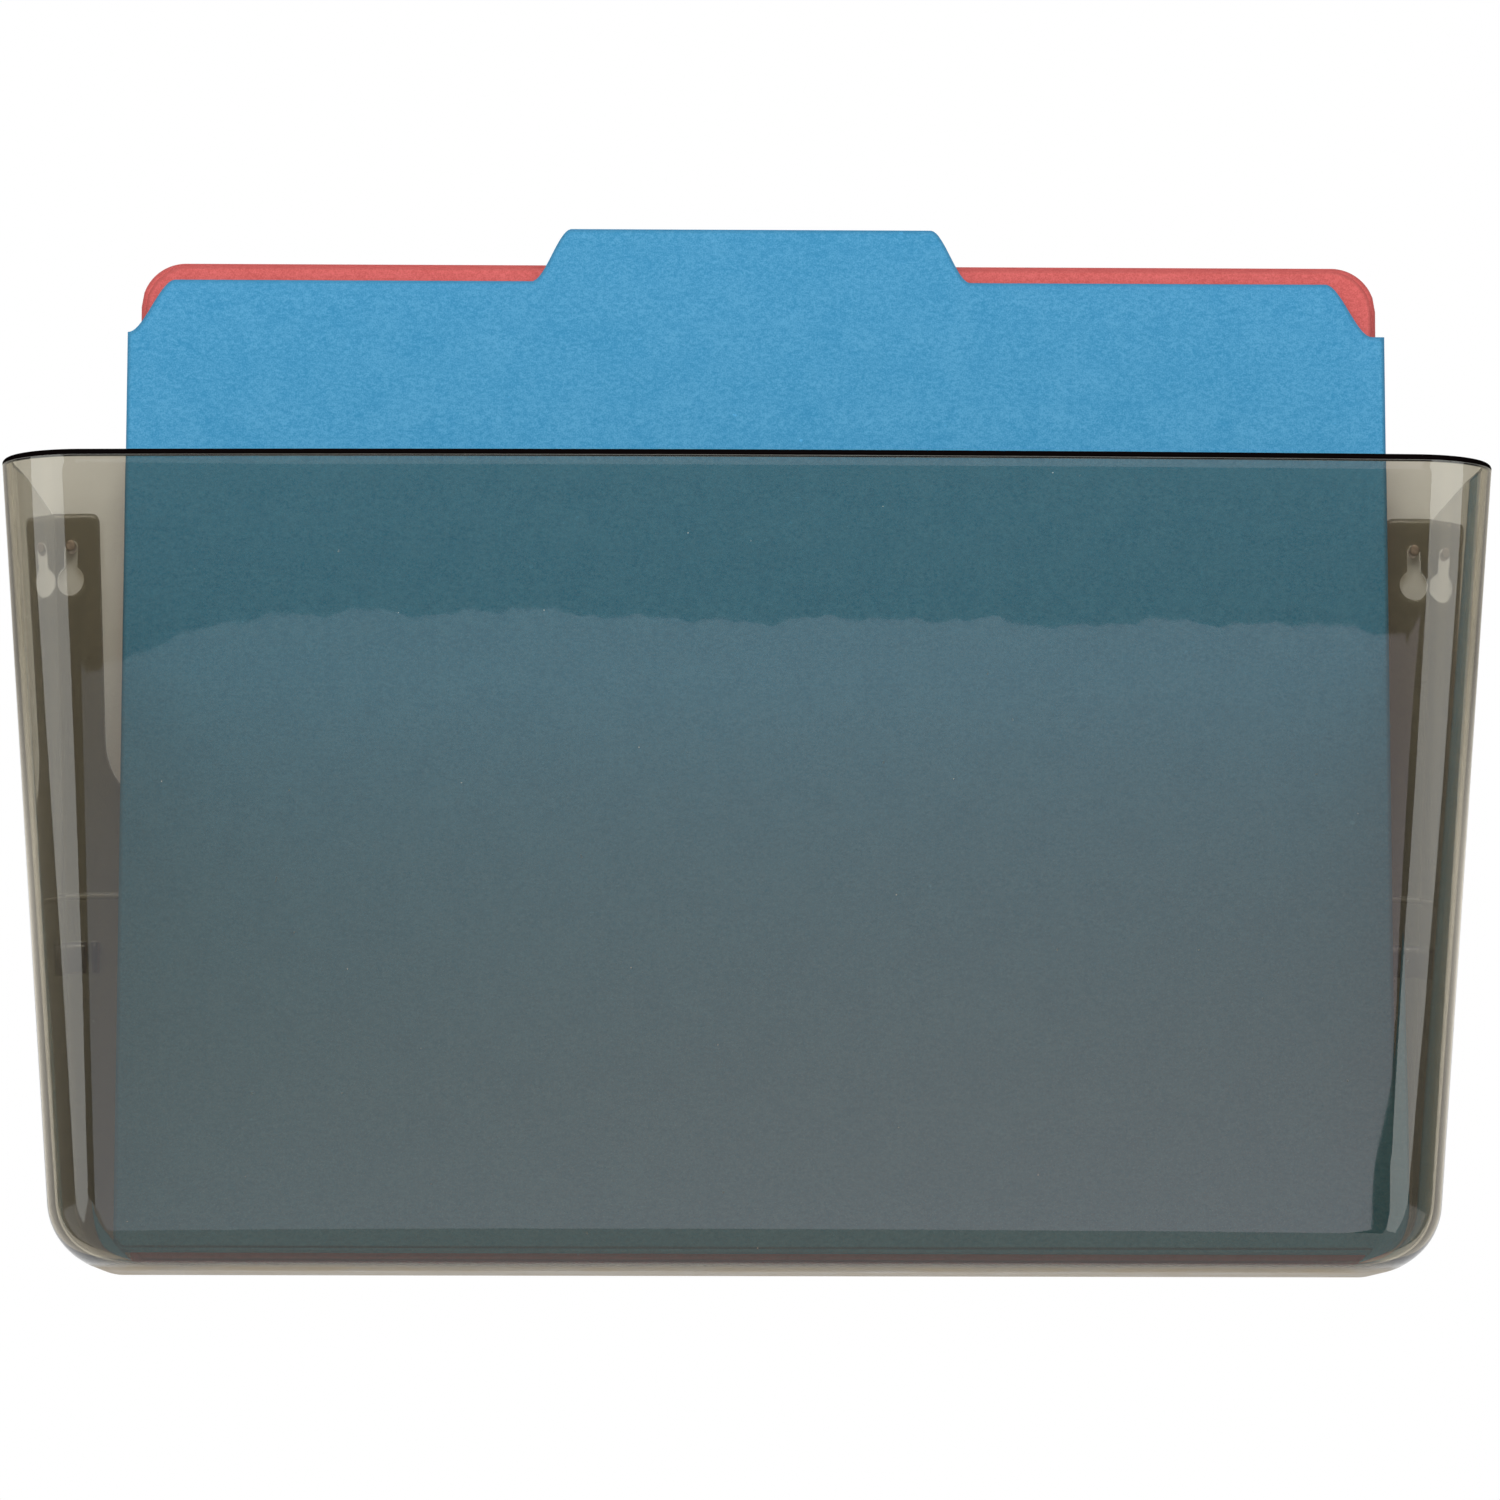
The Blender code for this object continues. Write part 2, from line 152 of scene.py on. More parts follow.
# %% Sizes of the moulding, in metres
HEIGHT = 0.180
UNDERSIDE = -0.172
WALL = 0.0022
BASE_WIDTH = 0.31095
TOP_WIDTH = 0.33335
BASE_DEPTH = 0.0762
TOP_DEPTH = 0.1048
CORNER_AT_BASE = 0.0125
CORNER_AT_RIM = 0.020
FRONT_BOW = 0.003
FRONT_FOOT = 0.008
SIDE_FOOT_FRONT = 0.0155
SIDE_FOOT_BACK = 0.0105
INNER_LESS_AT_BASE = 0.0042
INNER_LESS_ACROSS = 0.0020
INNER_LESS_DEEP = 0.00295
IOR = 1.58
LIP = 0.00009
BEAD = WALL / 2
OUTER_EDGE = 0.0006
INNER_EDGE = 0.0001

low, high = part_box("pocket_shell")
print("width of the CAD shell", round(high.x - low.x, 5), "and of this one", TOP_WIDTH)


# %% Formulas for the sides, the front and their rounded foot
def foot(radius, height):
    """How far a rounded lower edge stands in at a height: radius - sqrt(radius^2 - (radius - height)^2)."""
    rise = radius - np.clip(height, 0, radius)
    return radius - np.sqrt(np.maximum(radius * radius - rise * rise, 0))


def sight_foot():
    """Heights, and how far the inside of the front's foot stands in there, for light that comes in level.

    Light that meets the outside at a slope bends up by that slope less arcsin(sin(slope) / IOR), and comes
    out where the inside has the same slope. Along such a bent ray the wall's thickness shrinks by
    exp(-sum of tan(bent angle) * change of the rise), starting from the flat wall above the foot.
    """
    height = np.linspace(FRONT_FOOT, 0.0006, 240)
    lean = (TOP_DEPTH - BASE_DEPTH + 0.6 * FRONT_BOW) / HEIGHT
    set_in = foot(FRONT_FOOT, height) - lean * height
    slope = np.arctan(-np.gradient(set_in, height))
    bent = np.arcsin(np.sin(slope) / IOR)
    rise = slope - bent
    shrink = np.exp(-np.cumsum(np.tan(bent) * np.diff(rise, prepend=rise[0])))
    through = WALL * math.cos(slope[0]) / math.cos(bent[0]) * shrink
    inner_height = height + through * np.sin(rise)
    inner_in = set_in + through * np.cos(rise) + lean * inner_height - WALL
    return inner_height[::-1], np.maximum(inner_in[::-1], 0)


sight_heights, sight_in = sight_foot()
print("the inside of the foot starts", round(1000 * sight_heights[-1], 2), "mm up")


def half_width(height):
    """Half the outside width, which grows evenly from the base to the rim."""
    return blend(BASE_WIDTH, TOP_WIDTH, height / HEIGHT) / 2


def side_foot(y):
    """Radius between a side and the base, growing evenly from the back to the front."""
    return blend(SIDE_FOOT_BACK, SIDE_FOOT_FRONT, -y / BASE_DEPTH)


def front_ripple(x, height):
    """The moulded sheet's own slight waves: a sum of sines of x and height, a few microns high.

    They fade to nothing at the corners and at the rim, and bend reflections without moving the wall.
    """
    broad = np.sin(27 * x + 0.9) * np.sin(38 * height + 0.4) * 15e-6
    middle = np.sin(77 * x + 2.1) * np.sin(71 * height + 1.9 + 9 * x) * 8e-6
    fine = np.sin(181 * x + 5.0 + 40 * height) * np.sin(118 * height - 1.0) * 4.5e-6
    left_dip = -60e-6 * ease(-x, 0.095, 0.150) * np.sin(24 * (height - 0.075))
    quiet = ease(0.152 - np.abs(x), 0, 0.012) * ease(height, 0.012, 0.03) * ease(0.176 - height, 0, 0.02)
    return (broad + middle + fine + left_dip) * quiet


# %% [markdown]
# ### The wrap: side, corner, front, corner, side
#
# One level section of the moulding is a bowed line across the front, a quarter circle at each corner and
# a straight side. Stacking such sections at many heights gives a grid that wraps round the pocket. The
# heights lie close together where the foot is rounded and where ribs, lugs and openings begin, and the
# places lie close together where the front turns into a corner, so that reflections stay true there.

# %% The wrap as a function of height and place round the pocket
FRONT_COLUMNS, SIDE_COLUMNS = 44, 12
front_places = np.append(np.linspace(0, 1, FRONT_COLUMNS)[:-1], 0.997)
corner_turns = np.radians(np.concatenate([[-90, -88.5], np.linspace(-85, 0, 18)]))
CORNER_COLUMNS = len(corner_turns) - 1


def wrap(heights, inset, edge):
    """The wrap's points, heights x places x 3, from the left back edge round the front to the right.

    Across the front y is -depth - bow*(1 - s^2). Round a corner x and y follow a quarter circle outside and
    a quarter ellipse inside. Near the base every x is scaled by 1 - foot/half, so that the sides round in
    towards the underside. Just under the rim the outside stands forward by a lip of less than 0.1 mm.
    """
    h = heights[:, None]
    share = h / HEIGHT
    half = half_width(h) - inset
    stands_in = np.interp(h, sight_heights, sight_in, right=0.0) if inset else foot(FRONT_FOOT, h)
    depth = blend(BASE_DEPTH, TOP_DEPTH, share) - inset - stands_in
    radius = blend(CORNER_AT_BASE, CORNER_AT_RIM, share)
    across = radius - (blend(INNER_LESS_AT_BASE, INNER_LESS_ACROSS, share) if inset else 0)
    deep = radius - (blend(INNER_LESS_AT_BASE, INNER_LESS_DEEP, share) if inset else 0)
    flat = half - across
    s = front_places[None, :]
    turn = corner_turns[None, :]
    along = np.linspace(0, 1, SIDE_COLUMNS + 1)[None, 1:]
    front_x = flat * s
    front_y = -depth - FRONT_BOW * share * (1 - s**2)
    corner_x = flat + across * np.cos(turn)
    corner_y = deep - depth + deep * np.sin(turn)
    side_x = half + 0 * along
    side_y = blend(deep - depth, -inset - edge, along)
    x = np.concatenate([front_x, corner_x, side_x], axis=1)
    y = np.concatenate([front_y, corner_y, side_y], axis=1)
    x = x * (1 - foot(side_foot(y) - inset, h - inset) / half)
    x = np.concatenate([-x[:, :0:-1], x], axis=1)
    y = np.concatenate([y[:, :0:-1], y], axis=1)
    y = y + front_ripple(x, h) * (y < -0.06)
    if not inset:
        y = y - LIP * ease(h, 0.1757, 0.1789) * ease(-y, 0.075, 0.09)
    return points(x, y, UNDERSIDE + h)


# %% [markdown]
# ### The back plate: ears, bay and keyholes
#
# The back plate is low in the middle, so that a hand can reach the papers, and runs up at each side into
# an ear with a keyhole. Its flat face is laid out as blocks of rows and columns: a low block under the
# bay, and one block for each ear whose inner column follows the bay's curved edge. Every cut edge is a
# half circle as thick as the wall, so the flat face stops one bead radius short of it.

# %% Sizes of the bay, the keyholes and the rows they need
BAY_FLOOR = 0.109
BAY_ROUND = 0.017
EAR_ROUND = 0.002
BAY_HALF_TOP = TOP_WIDTH / 2 - 0.0141
BAY_HALF_LOW = half_width(BAY_FLOOR) - 0.0118
BAY_TURN_X = BAY_HALF_LOW - BAY_ROUND
BAY_TURN_HEIGHT = BAY_FLOOR + BAY_ROUND
EAR_TURN_X = BAY_HALF_TOP + EAR_ROUND
EAR_TURN_HEIGHT = HEIGHT - EAR_ROUND
PIN_X = TOP_WIDTH / 2 - 0.0071
PIN_HEIGHT = -UNDERSIDE
EYE_RADIUS = 0.0036
EYE_HEIGHT = PIN_HEIGHT - 0.0080
SLOT_HALF = 0.0018
SLOT_TURN_HEIGHT = PIN_HEIGHT - 0.00015
HOLE_EDGE = 0.00015


def hole_side():
    """The right side of the keyhole outline, x from its middle and height, from the eye up to the slot."""
    eye = np.radians(np.linspace(-45, 60, 10))
    slot = np.radians(np.linspace(0, 45, 4))
    eye_x, eye_h = EYE_RADIUS * np.cos(eye), EYE_HEIGHT + EYE_RADIUS * np.sin(eye)
    straight_h = np.linspace(eye_h[-1], SLOT_TURN_HEIGHT, 5)[1:-1]
    slot_x, slot_h = SLOT_HALF * np.cos(slot), SLOT_TURN_HEIGHT + SLOT_HALF * np.sin(slot)
    x = np.concatenate([eye_x, SLOT_HALF + 0 * straight_h, slot_x])
    return points(x, np.concatenate([eye_h, straight_h, slot_h]))


side_of_hole = hole_side()
block_low, block_high = PIN_HEIGHT - 0.0135, PIN_HEIGHT + 0.0035
up_the_hole = (side_of_hole[:, 1] - side_of_hole[0, 1]) / np.ptp(side_of_hole[:, 1])
hole_rows = blend(block_low, block_high, up_the_hole)

LUG_MIDDLE, LUG_TALL, LUG_WIDE, LUG_PROUD = 0.0745, 0.0070, 0.0064, 0.0012
RIB_MIDDLE, RIB_WIDE, RIB_PROUD = 0.089, 0.0012, 0.0004
near_an_edge = np.array([-0.0005, -0.0003, -0.0001, 0.0001, 0.0003])
quarter = np.radians(np.linspace(0, 90, 13))
upper_rows = [
    np.linspace(0.018, 0.068, 16),
    LUG_MIDDLE - LUG_TALL / 2 + near_an_edge,
    [LUG_MIDDLE - 0.0015, LUG_MIDDLE + 0.0015],
    LUG_MIDDLE + LUG_TALL / 2 - near_an_edge,
    RIB_MIDDLE + np.linspace(-0.0009, 0.0009, 9),
    [0.083, 0.095, 0.1015],
    BAY_TURN_HEIGHT - (BAY_ROUND + BEAD) * np.cos(quarter),
    [0.1335, 0.142, 0.150],
    hole_rows,
    [0.1763, 0.1769, 0.1774],
    EAR_TURN_HEIGHT + (EAR_ROUND - BEAD) * np.sin(np.radians(np.linspace(0, 90, 5))),
]
upper_rows = np.unique(np.round(np.concatenate(upper_rows), 9))
FOOT_ROWS = 21
foot_turn = 1 - np.cos(np.radians(np.linspace(0, 90, FOOT_ROWS)))
row_heights = (BAY_FLOOR - BEAD, block_low, block_high)
floor_row, hole_first, hole_last = (
    FOOT_ROWS + int(np.argmin(np.abs(upper_rows - height))) for height in row_heights
)
print(FOOT_ROWS + len(upper_rows), "rows, of which the keyhole block takes", hole_last - hole_first + 1)


# %% Rows, columns and the bay's edge
def rows_for(inset):
    """Heights of all rows: close together up the rounded foot, then the rows the openings need."""
    return np.concatenate([inset + (SIDE_FOOT_FRONT - inset) * foot_turn, upper_rows])


ear_shares = np.array([0, 0.05, 0.10, 0.22, 0.34, 0.46, 0.57, 0.66, 0.727, 0.741, 0.755, 0.84, 0.92, 1.0])
HOLE_COLUMN = 2
places_round = 2 * (FRONT_COLUMNS + CORNER_COLUMNS + SIDE_COLUMNS) + 1
middle_columns = places_round - 1 - 2 * (len(ear_shares) - 1)


def bay_edge(height):
    """x of the flat face's edge beside the bay, and the direction out over that edge, as x and z.

    From the floor up it is a hollow quarter circle, then a straight line that leans a little outwards,
    then the small round corner of the ear's top. Each lies one bead radius outside the real edge.
    """
    low_r, top_r = BAY_ROUND + BEAD, EAR_ROUND - BEAD
    below = np.clip(BAY_TURN_HEIGHT - height, 0, low_r)
    above = np.clip(height - EAR_TURN_HEIGHT, 0, top_r)
    hollow_x = BAY_TURN_X + np.sqrt(np.maximum(low_r**2 - below**2, 0))
    line_share = (height - BAY_TURN_HEIGHT) / (EAR_TURN_HEIGHT - BAY_TURN_HEIGHT)
    line_x = blend(BAY_HALF_LOW + BEAD, BAY_HALF_TOP + BEAD, line_share)
    round_x = EAR_TURN_X - np.sqrt(np.maximum(top_r**2 - above**2, 0))
    x = np.where(height < BAY_TURN_HEIGHT, hollow_x, np.where(height < EAR_TURN_HEIGHT, line_x, round_x))
    out_x = np.where(height < BAY_TURN_HEIGHT, -(hollow_x - BAY_TURN_X) / low_r, -1.0)
    out_x = np.where(height > EAR_TURN_HEIGHT, (round_x - EAR_TURN_X) / top_r, out_x)
    out_z = np.where(height < BAY_TURN_HEIGHT, below / low_r, above / top_r)
    return x, points(out_x, 0, out_z)


def relief(x, height):
    """How far the plate's inner face stands proud: a rib right across, and a lug beside each side wall."""
    rib = RIB_PROUD * (1 - ease(np.abs(height - RIB_MIDDLE), 0.0002, RIB_WIDE / 2 + 0.0002))
    from_wall = half_width(LUG_MIDDLE) - WALL - np.abs(x)
    across = 1 - ease(from_wall, LUG_WIDE - 0.0003, LUG_WIDE + 0.0003)
    up = 1 - ease(np.abs(height - LUG_MIDDLE), LUG_TALL / 2 - 0.0003, LUG_TALL / 2 + 0.0003)
    return np.maximum(rib, LUG_PROUD * across * up)


# %% [markdown]
# ### Joining the wrap to the plate
#
# Where the sides and the base meet the plate the mould leaves a small round edge. It is a quarter circle
# carried along the plate's outline: down one side, along the base, and up the other side. Its first
# column is the wrap's last one, and its last column is the edge of the flat face.

# %% The small round edge along the plate's outline
EDGE_STEPS = 4


def plate_outline_direction(heights, inset):
    """The direction straight out from the plate's side outline, in x and z."""
    radius = SIDE_FOOT_BACK - inset
    down = np.clip((radius - (heights - inset)) / radius, 0, 1)
    out_x = np.sqrt(1 - down**2)
    out_z = -down - (TOP_WIDTH - BASE_WIDTH) / 2 / HEIGHT * out_x
    length = np.sqrt(out_x**2 + out_z**2)
    return out_x / length, out_z / length


def edge_round(start, out_x, out_z, inset, edge):
    """A quarter circle from the points of start, which lie one edge radius in front of the plate's face.

    A point moves in by edge*(1 - cos t) and towards the plate by edge*sin t, for t from 0 to 90 degrees.
    """
    t = np.radians(np.linspace(0, 90, EDGE_STEPS + 1))[None, :]
    inwards = edge * (1 - np.cos(t))
    x = start[:, 0:1] - out_x[:, None] * inwards
    z = start[:, 2:3] - out_z[:, None] * inwards
    return points(x, -inset - edge * (1 - np.sin(t)), z)


# %% One side of the wall, outside or inside, as a set of grids
def hole_outline(grow):
    """The keyhole's closed outline, grown by a distance, in the order of the block's border points.

    It runs along the bottom of the eye, up the right side, over the slot and down the left side.
    """
    across = (ear_shares[HOLE_COLUMN:] - ear_shares[HOLE_COLUMN]) / (1 - ear_shares[HOLE_COLUMN])
    under = np.radians(-135 + 90 * across)
    over = np.radians(135 - 90 * across)
    bottom = points(EYE_RADIUS * np.cos(under), EYE_HEIGHT + EYE_RADIUS * np.sin(under))
    top = points(SLOT_HALF * np.cos(over), SLOT_TURN_HEIGHT + SLOT_HALF * np.sin(over))
    left = side_of_hole * np.array([-1.0, 1.0])
    loop = np.concatenate([bottom[:-1], side_of_hole[:-1], top[::-1][:-1], left[::-1][:-1]])
    ahead = np.roll(loop, -1, axis=0) - loop
    behind = loop - np.roll(loop, 1, axis=0)
    unit = [step / np.linalg.norm(step, axis=1, keepdims=True) for step in (ahead, behind)]
    tangent = unit[0] + unit[1]
    tangent = tangent / np.linalg.norm(tangent, axis=1, keepdims=True)
    grown = loop + grow * points(tangent[:, 1], -tangent[:, 0])
    return np.concatenate([grown, grown[:1]])


def block_border(block):
    """The border points of a block of the plate, in the keyhole outline's order, closed."""
    return np.concatenate([block[0, :-1], block[:-1, -1], block[-1, :0:-1], block[:0:-1, 0], block[:1, 0]])


def wall_side(inset, edge):
    """All grids of the outside (inset 0) or the inside (inset one wall), and the border of its bead."""
    heights = rows_for(inset)
    round_wall = wrap(heights, inset, edge)
    out_x, out_z = plate_outline_direction(heights, inset)
    right_edge = edge_round(round_wall[:, -1], out_x, out_z, inset, edge)
    face_x, face_z = right_edge[:, -1, 0], right_edge[:, -1, 2]

    inner_x, over_edge = bay_edge(heights)
    inner_x = np.where(heights < BAY_FLOOR - BEAD + 1e-9, BAY_TURN_X, inner_x)
    ear_x = blend(inner_x[:, None], face_x[:, None], ear_shares[None, :])
    ear = points(ear_x, -inset, face_z[:, None])
    middle_x = np.linspace(-BAY_TURN_X, BAY_TURN_X, middle_columns + 1)[None, 1:-1]
    middle = points(middle_x, -inset, face_z[:, None])
    low_plate = np.concatenate([mirrored(ear[:, ::-1]), middle, ear], axis=1)[: floor_row + 1]

    foot_line = low_plate[0] * np.array([1.0, 0.0, 0.0]) + np.array([0, -inset - edge, UNDERSIDE + inset])
    foot_edge = edge_round(foot_line, 0 * foot_line[:, 0], 0 * foot_line[:, 0] - 1, inset, edge)
    forward = np.append(np.linspace(0, 0.96, 12), [0.985, 0.995, 0.9985, 1.0])[:, None, None]
    base = blend(foot_line[None], round_wall[0][None], forward)

    block = ear[hole_first : hole_last + 1, HOLE_COLUMN:]
    hole = hole_outline(HOLE_EDGE)
    hole_points = points(PIN_X + hole[:, 0], -inset, UNDERSIDE + hole[:, 1])
    steps = np.linspace(0, 1, 5)[:, None, None]
    round_hole = blend(block_border(block)[None], hole_points[None], steps)
    ear_grids = [
        right_edge,
        ear[floor_row : hole_first + 1],
        ear[hole_first : hole_last + 1, : HOLE_COLUMN + 1],
        ear[hole_last:],
        round_hole,
    ]
    grids = [round_wall, low_plate, foot_edge, base] + ear_grids + [mirrored(grid) for grid in ear_grids]
    if inset:
        for grid in grids:
            on_plate = grid[..., 1] > -inset - 1.5 * edge
            grid[..., 1] -= on_plate * relief(grid[..., 0], grid[..., 2] - UNDERSIDE)

    up = np.array([[0.0, 0.0, 1.0]])
    right_top = np.concatenate([right_edge[-1, 1:], ear[-1, ::-1][1:], ear[floor_row:-1, 0][::-1]])
    over_top = np.repeat(up, EDGE_STEPS + len(ear_shares) - 1, 0)
    right_over = np.concatenate([over_top, over_edge[floor_row:-1][::-1]])
    floor_line = middle[floor_row][::-1]
    border = [round_wall[-1], right_top, floor_line, mirrored(right_top)[::-1], round_wall[-1, :1]]
    over = [np.repeat(up, len(round_wall[-1]), 0), right_over, np.repeat(up, len(floor_line), 0)]
    over += [mirrored(right_over)[::-1], up]
    return grids, np.concatenate(border), np.concatenate(over)


outside, outside_border, over_border = wall_side(0.0, OUTER_EDGE)
inside, inside_border, _ = wall_side(WALL, INNER_EDGE)
print(len(outside), "grids outside and", len(inside), "inside, with", len(outside_border), "points of rim")


# %% [markdown]
# ### The bead and the keyhole walls
#
# A half circle from the outside border to the inside border closes the wall all the way round: along the
# rim, over the ears, down beside the bay and along its floor. Seen through clear plastic this round edge
# works as a strong lens, which darkens the real rim to a line. Here that dark line along the rim is painted
# shade, a dark tint on the edge in the smoke plastic's finish.

# %% Close the rim and the keyholes, and make the shell
def half_circle_bead(first, second, direction, steps=10):
    """Half circles between two borders: middle + (first - middle)*cos t + direction*bead*sin t."""
    t = np.linspace(0, math.pi, steps + 1)[:, None, None]
    middle = (first + second)[None] / 2
    return middle + (first[None] - middle) * np.cos(t) + direction[None] * BEAD * np.sin(t)


def keyhole_wall():
    """The keyhole's cut wall: the outline carried through the plate, with a quarter circle at each face."""
    t = np.radians(np.linspace(0, 90, 4))
    growth = np.concatenate([HOLE_EDGE * (1 - np.sin(t)), HOLE_EDGE * (1 - np.cos(t))])
    through = np.concatenate([-HOLE_EDGE * (1 - np.cos(t)), -WALL + HOLE_EDGE * (1 - np.sin(t))])
    rows = [hole_outline(g) for g in growth]
    return np.stack([points(PIN_X + row[:, 0], y, UNDERSIDE + row[:, 1]) for row, y in zip(rows, through)])


rim_bead = half_circle_bead(outside_border, inside_border, over_border)
right_hole = keyhole_wall()
closing = [rim_bead, right_hole, mirrored(right_hole)]
smoke_shell = skin_from_grids("smoke_shell", outside + inside + closing)
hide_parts("pocket_shell")
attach(smoke_shell, "pocket")

# %% [markdown]
# ## The folders
#
# A file folder is one sheet of card, about 0.4 mm thick, folded along the bottom. The blue one has low
# ends, a step and a tab in the middle of its front leaf, and its back leaf is lower and stays hidden. The
# red one has plain leaves with round corners, and its front leaf is cut a millimetre smaller all round,
# which gives the double edge in the photograph. Each leaf is one grid: places across the card times
# steps up from the fold. Solidify then gives the grid its thickness with square cut edges.

# %% Sizes of the card folders, in metres
CARD = 0.0004
FOLD_RADIUS = 0.0008
FOLDER_CORNER = 0.0032
BLUE_HALF = 0.29845 / 2
BLUE_LOW_EDGE, BLUE_STEP = 0.2159, 0.0127
END_CUT, END_SLOPE = 0.0015, 0.0110
TAB_HALF, TAB_SLOPE = 0.0855 / 2, 0.0094
RED_HALF = (0.29845 - 0.00445) / 2
RED_ROUND = 0.0105
RED_SMALLER = 0.0011
BLUE_PLACE = np.array([0.00315, -0.0136, -0.16535141])
BLUE_UP = np.array([0.03698251, 0.99931592])
RED_PLACE = np.array([0.003775, -0.0046, -0.16759436])
RED_UP = np.array([0.00821623, 0.99996626])
HINGE_GAP = 0.0003
RED_TALL = 0.2356
CUT_OFF_CENTRE = -0.0014


# %% The outline of each leaf
def blue_tab_edge(x):
    """Height of the tabbed leaf's top edge: low ends, a step up near each end, and a tab in the middle.

    The die that cut it lay 1.4 mm off the sheet's centre, as the photograph shows at both ends.
    """
    across = np.abs(x - CUT_OFF_CENTRE)
    step = ease(BLUE_HALF - across, END_CUT, END_CUT + END_SLOPE)
    tab = ease(TAB_HALF + TAB_SLOPE - across, 0, TAB_SLOPE)
    return BLUE_LOW_EDGE + BLUE_STEP * (step + tab)


def blue_plain_edge(x):
    """Height of the hidden blue leaf's straight top edge."""
    return BLUE_LOW_EDGE + 0 * x


def red_edge(half, height):
    """A straight top edge with a round corner at each end."""
    return lambda x: height - foot(RED_ROUND, half - np.abs(x))


def places_across(half, close_to, centre=0.0):
    """Places across a leaf, every 4 mm, and every 0.6 mm round the steps and corners of its edge."""
    even = np.linspace(-half, half, int(half / 0.002))
    close = [np.arange(start, end, 0.0006) for start, end in close_to]
    close = np.concatenate([[half], *close])
    places = np.concatenate([even, centre - close, centre + close])
    places = np.unique(np.round(places[np.abs(places) < half - 0.0002], 6))
    places = places[np.concatenate([[True], np.diff(places) > 0.0002])]
    return np.concatenate([[-half], places, [half]])


def card_leaf(name, across, top_edge, path, place, up, curl):
    """One leaf of card: it follows path, its (y, z) points at the fold, then runs up to its top edge.

    Rows above the path are shares of the edge's height at each place across, and the last few lie close
    to the cut edge. The lower corners are rounded as the foot formula gives. curl is how far the leaf's
    middle bows towards the viewer. Each point keeps its distance from the cut edge as an attribute.
    """
    half = np.abs(across).max()
    lowest = path[:, 1].min() - CARD / 2
    start = path[-1, 1]
    near = lowest + FOLDER_CORNER * (1 - np.cos(np.radians(np.linspace(15, 90, 8))))
    near = near[near > start + CARD / 2]
    up_share = np.linspace(0, 1, 34)[1:, None]
    close_to_edge = np.array([0.0, 0.0007, 0.00105, 0.0014])[::-1, None]
    heights = near[-1] + (top_edge(across)[None, :] - 0.004 - near[-1]) * up_share
    heights = np.concatenate([heights, top_edge(across)[None, :] - close_to_edge])
    z = np.concatenate([path[:, 1:2] + 0 * across, near[:, None] + 0 * across, heights])
    y = np.concatenate([path[:, 0:1] + 0 * across, path[-1, 0] + 0 * z[len(path) :]])
    x = across[None, :] * (1 - foot(FOLDER_CORNER, z - lowest) / half)
    bow = (1 - (x / half) ** 2) * np.sin(np.pi * np.clip(z / 0.23, 0, 1))
    y = y - curl * bow
    world_y = place[1] + y * up[1] + z * up[0]
    world_z = place[2] - y * up[0] + z * up[1]
    leaf = skin_from_grids(name, [points(place[0] + x, world_y, world_z)])
    slope = np.gradient(top_edge(across), across)
    from_top = (top_edge(across)[None, :] - z) / np.sqrt(1 + slope[None, :] ** 2)
    from_edge = np.minimum(from_top, half - np.abs(across)[None, :])
    leaf.data.attributes.new("from_edge", "FLOAT", "POINT").data.foreach_set("value", from_edge.ravel())
    solid = leaf.modifiers.new("card_thickness", "SOLIDIFY")
    solid.thickness = CARD
    solid.offset = 0
    solid.use_even_offset = True
    return leaf


# %% Fold and lay the two folders
fold_turn = np.radians(np.linspace(180, 360, 13))
fold_path = points(FOLD_RADIUS * np.cos(fold_turn), FOLD_RADIUS * np.sin(fold_turn))
front_path = np.array([[-FOLD_RADIUS, HINGE_GAP]])
blue_curves = [(0.0423, 0.0527), (BLUE_HALF - 0.0128, BLUE_HALF - 0.0012)]
blue_across = places_across(BLUE_HALF, blue_curves, CUT_OFF_CENTRE)
blue_plain = places_across(BLUE_HALF, [])
red_across = places_across(RED_HALF, [(RED_HALF - 0.0108, RED_HALF)])
red_half_front = RED_HALF - RED_SMALLER
red_front = places_across(red_half_front, [(red_half_front - 0.0108, red_half_front)])


def raised(edge, by):
    """The same top edge, for a leaf whose height is measured from a start that lies higher by this much."""
    return lambda x: edge(x) + by


blue_tab_leaf = card_leaf(
    "blue_tab_leaf", blue_across, raised(blue_tab_edge, HINGE_GAP), front_path, BLUE_PLACE, BLUE_UP, 0.00012
)
blue_rear_leaf = card_leaf(
    "blue_rear_leaf", blue_plain, blue_plain_edge, fold_path, BLUE_PLACE, BLUE_UP, 0.0
)
red_front_edge = raised(red_edge(red_half_front, RED_TALL - RED_SMALLER), HINGE_GAP)
red_front_leaf = card_leaf(
    "red_front_leaf", red_front, red_front_edge, front_path, RED_PLACE, RED_UP, 0.0
)
red_rear_leaf = card_leaf(
    "red_rear_leaf", red_across, red_edge(RED_HALF, RED_TALL), fold_path, RED_PLACE, RED_UP, 0.0
)
leaves = (
    (blue_tab_leaf, "blue_folder_tab_leaf", "blue_card", "blue_leaf"),
    (blue_rear_leaf, "blue_folder_rear_leaf", "blue_card", "blue_folder"),
    (red_front_leaf, "red_folder_front_leaf", "red_card", "red_folder"),
    (red_rear_leaf, "red_folder_rear_leaf", "red_card", "red_folder"),
)
for leaf, node, card, body in leaves:
    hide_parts(node)
    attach(leaf, body)

# %% [markdown]
# ## The hanging pins
#
# The pocket hangs on two plain wall pins without heads. Only their ends show, as dark spots in the tops
# of the keyholes. Each is a profile turned round its own axis, which runs into the wall.

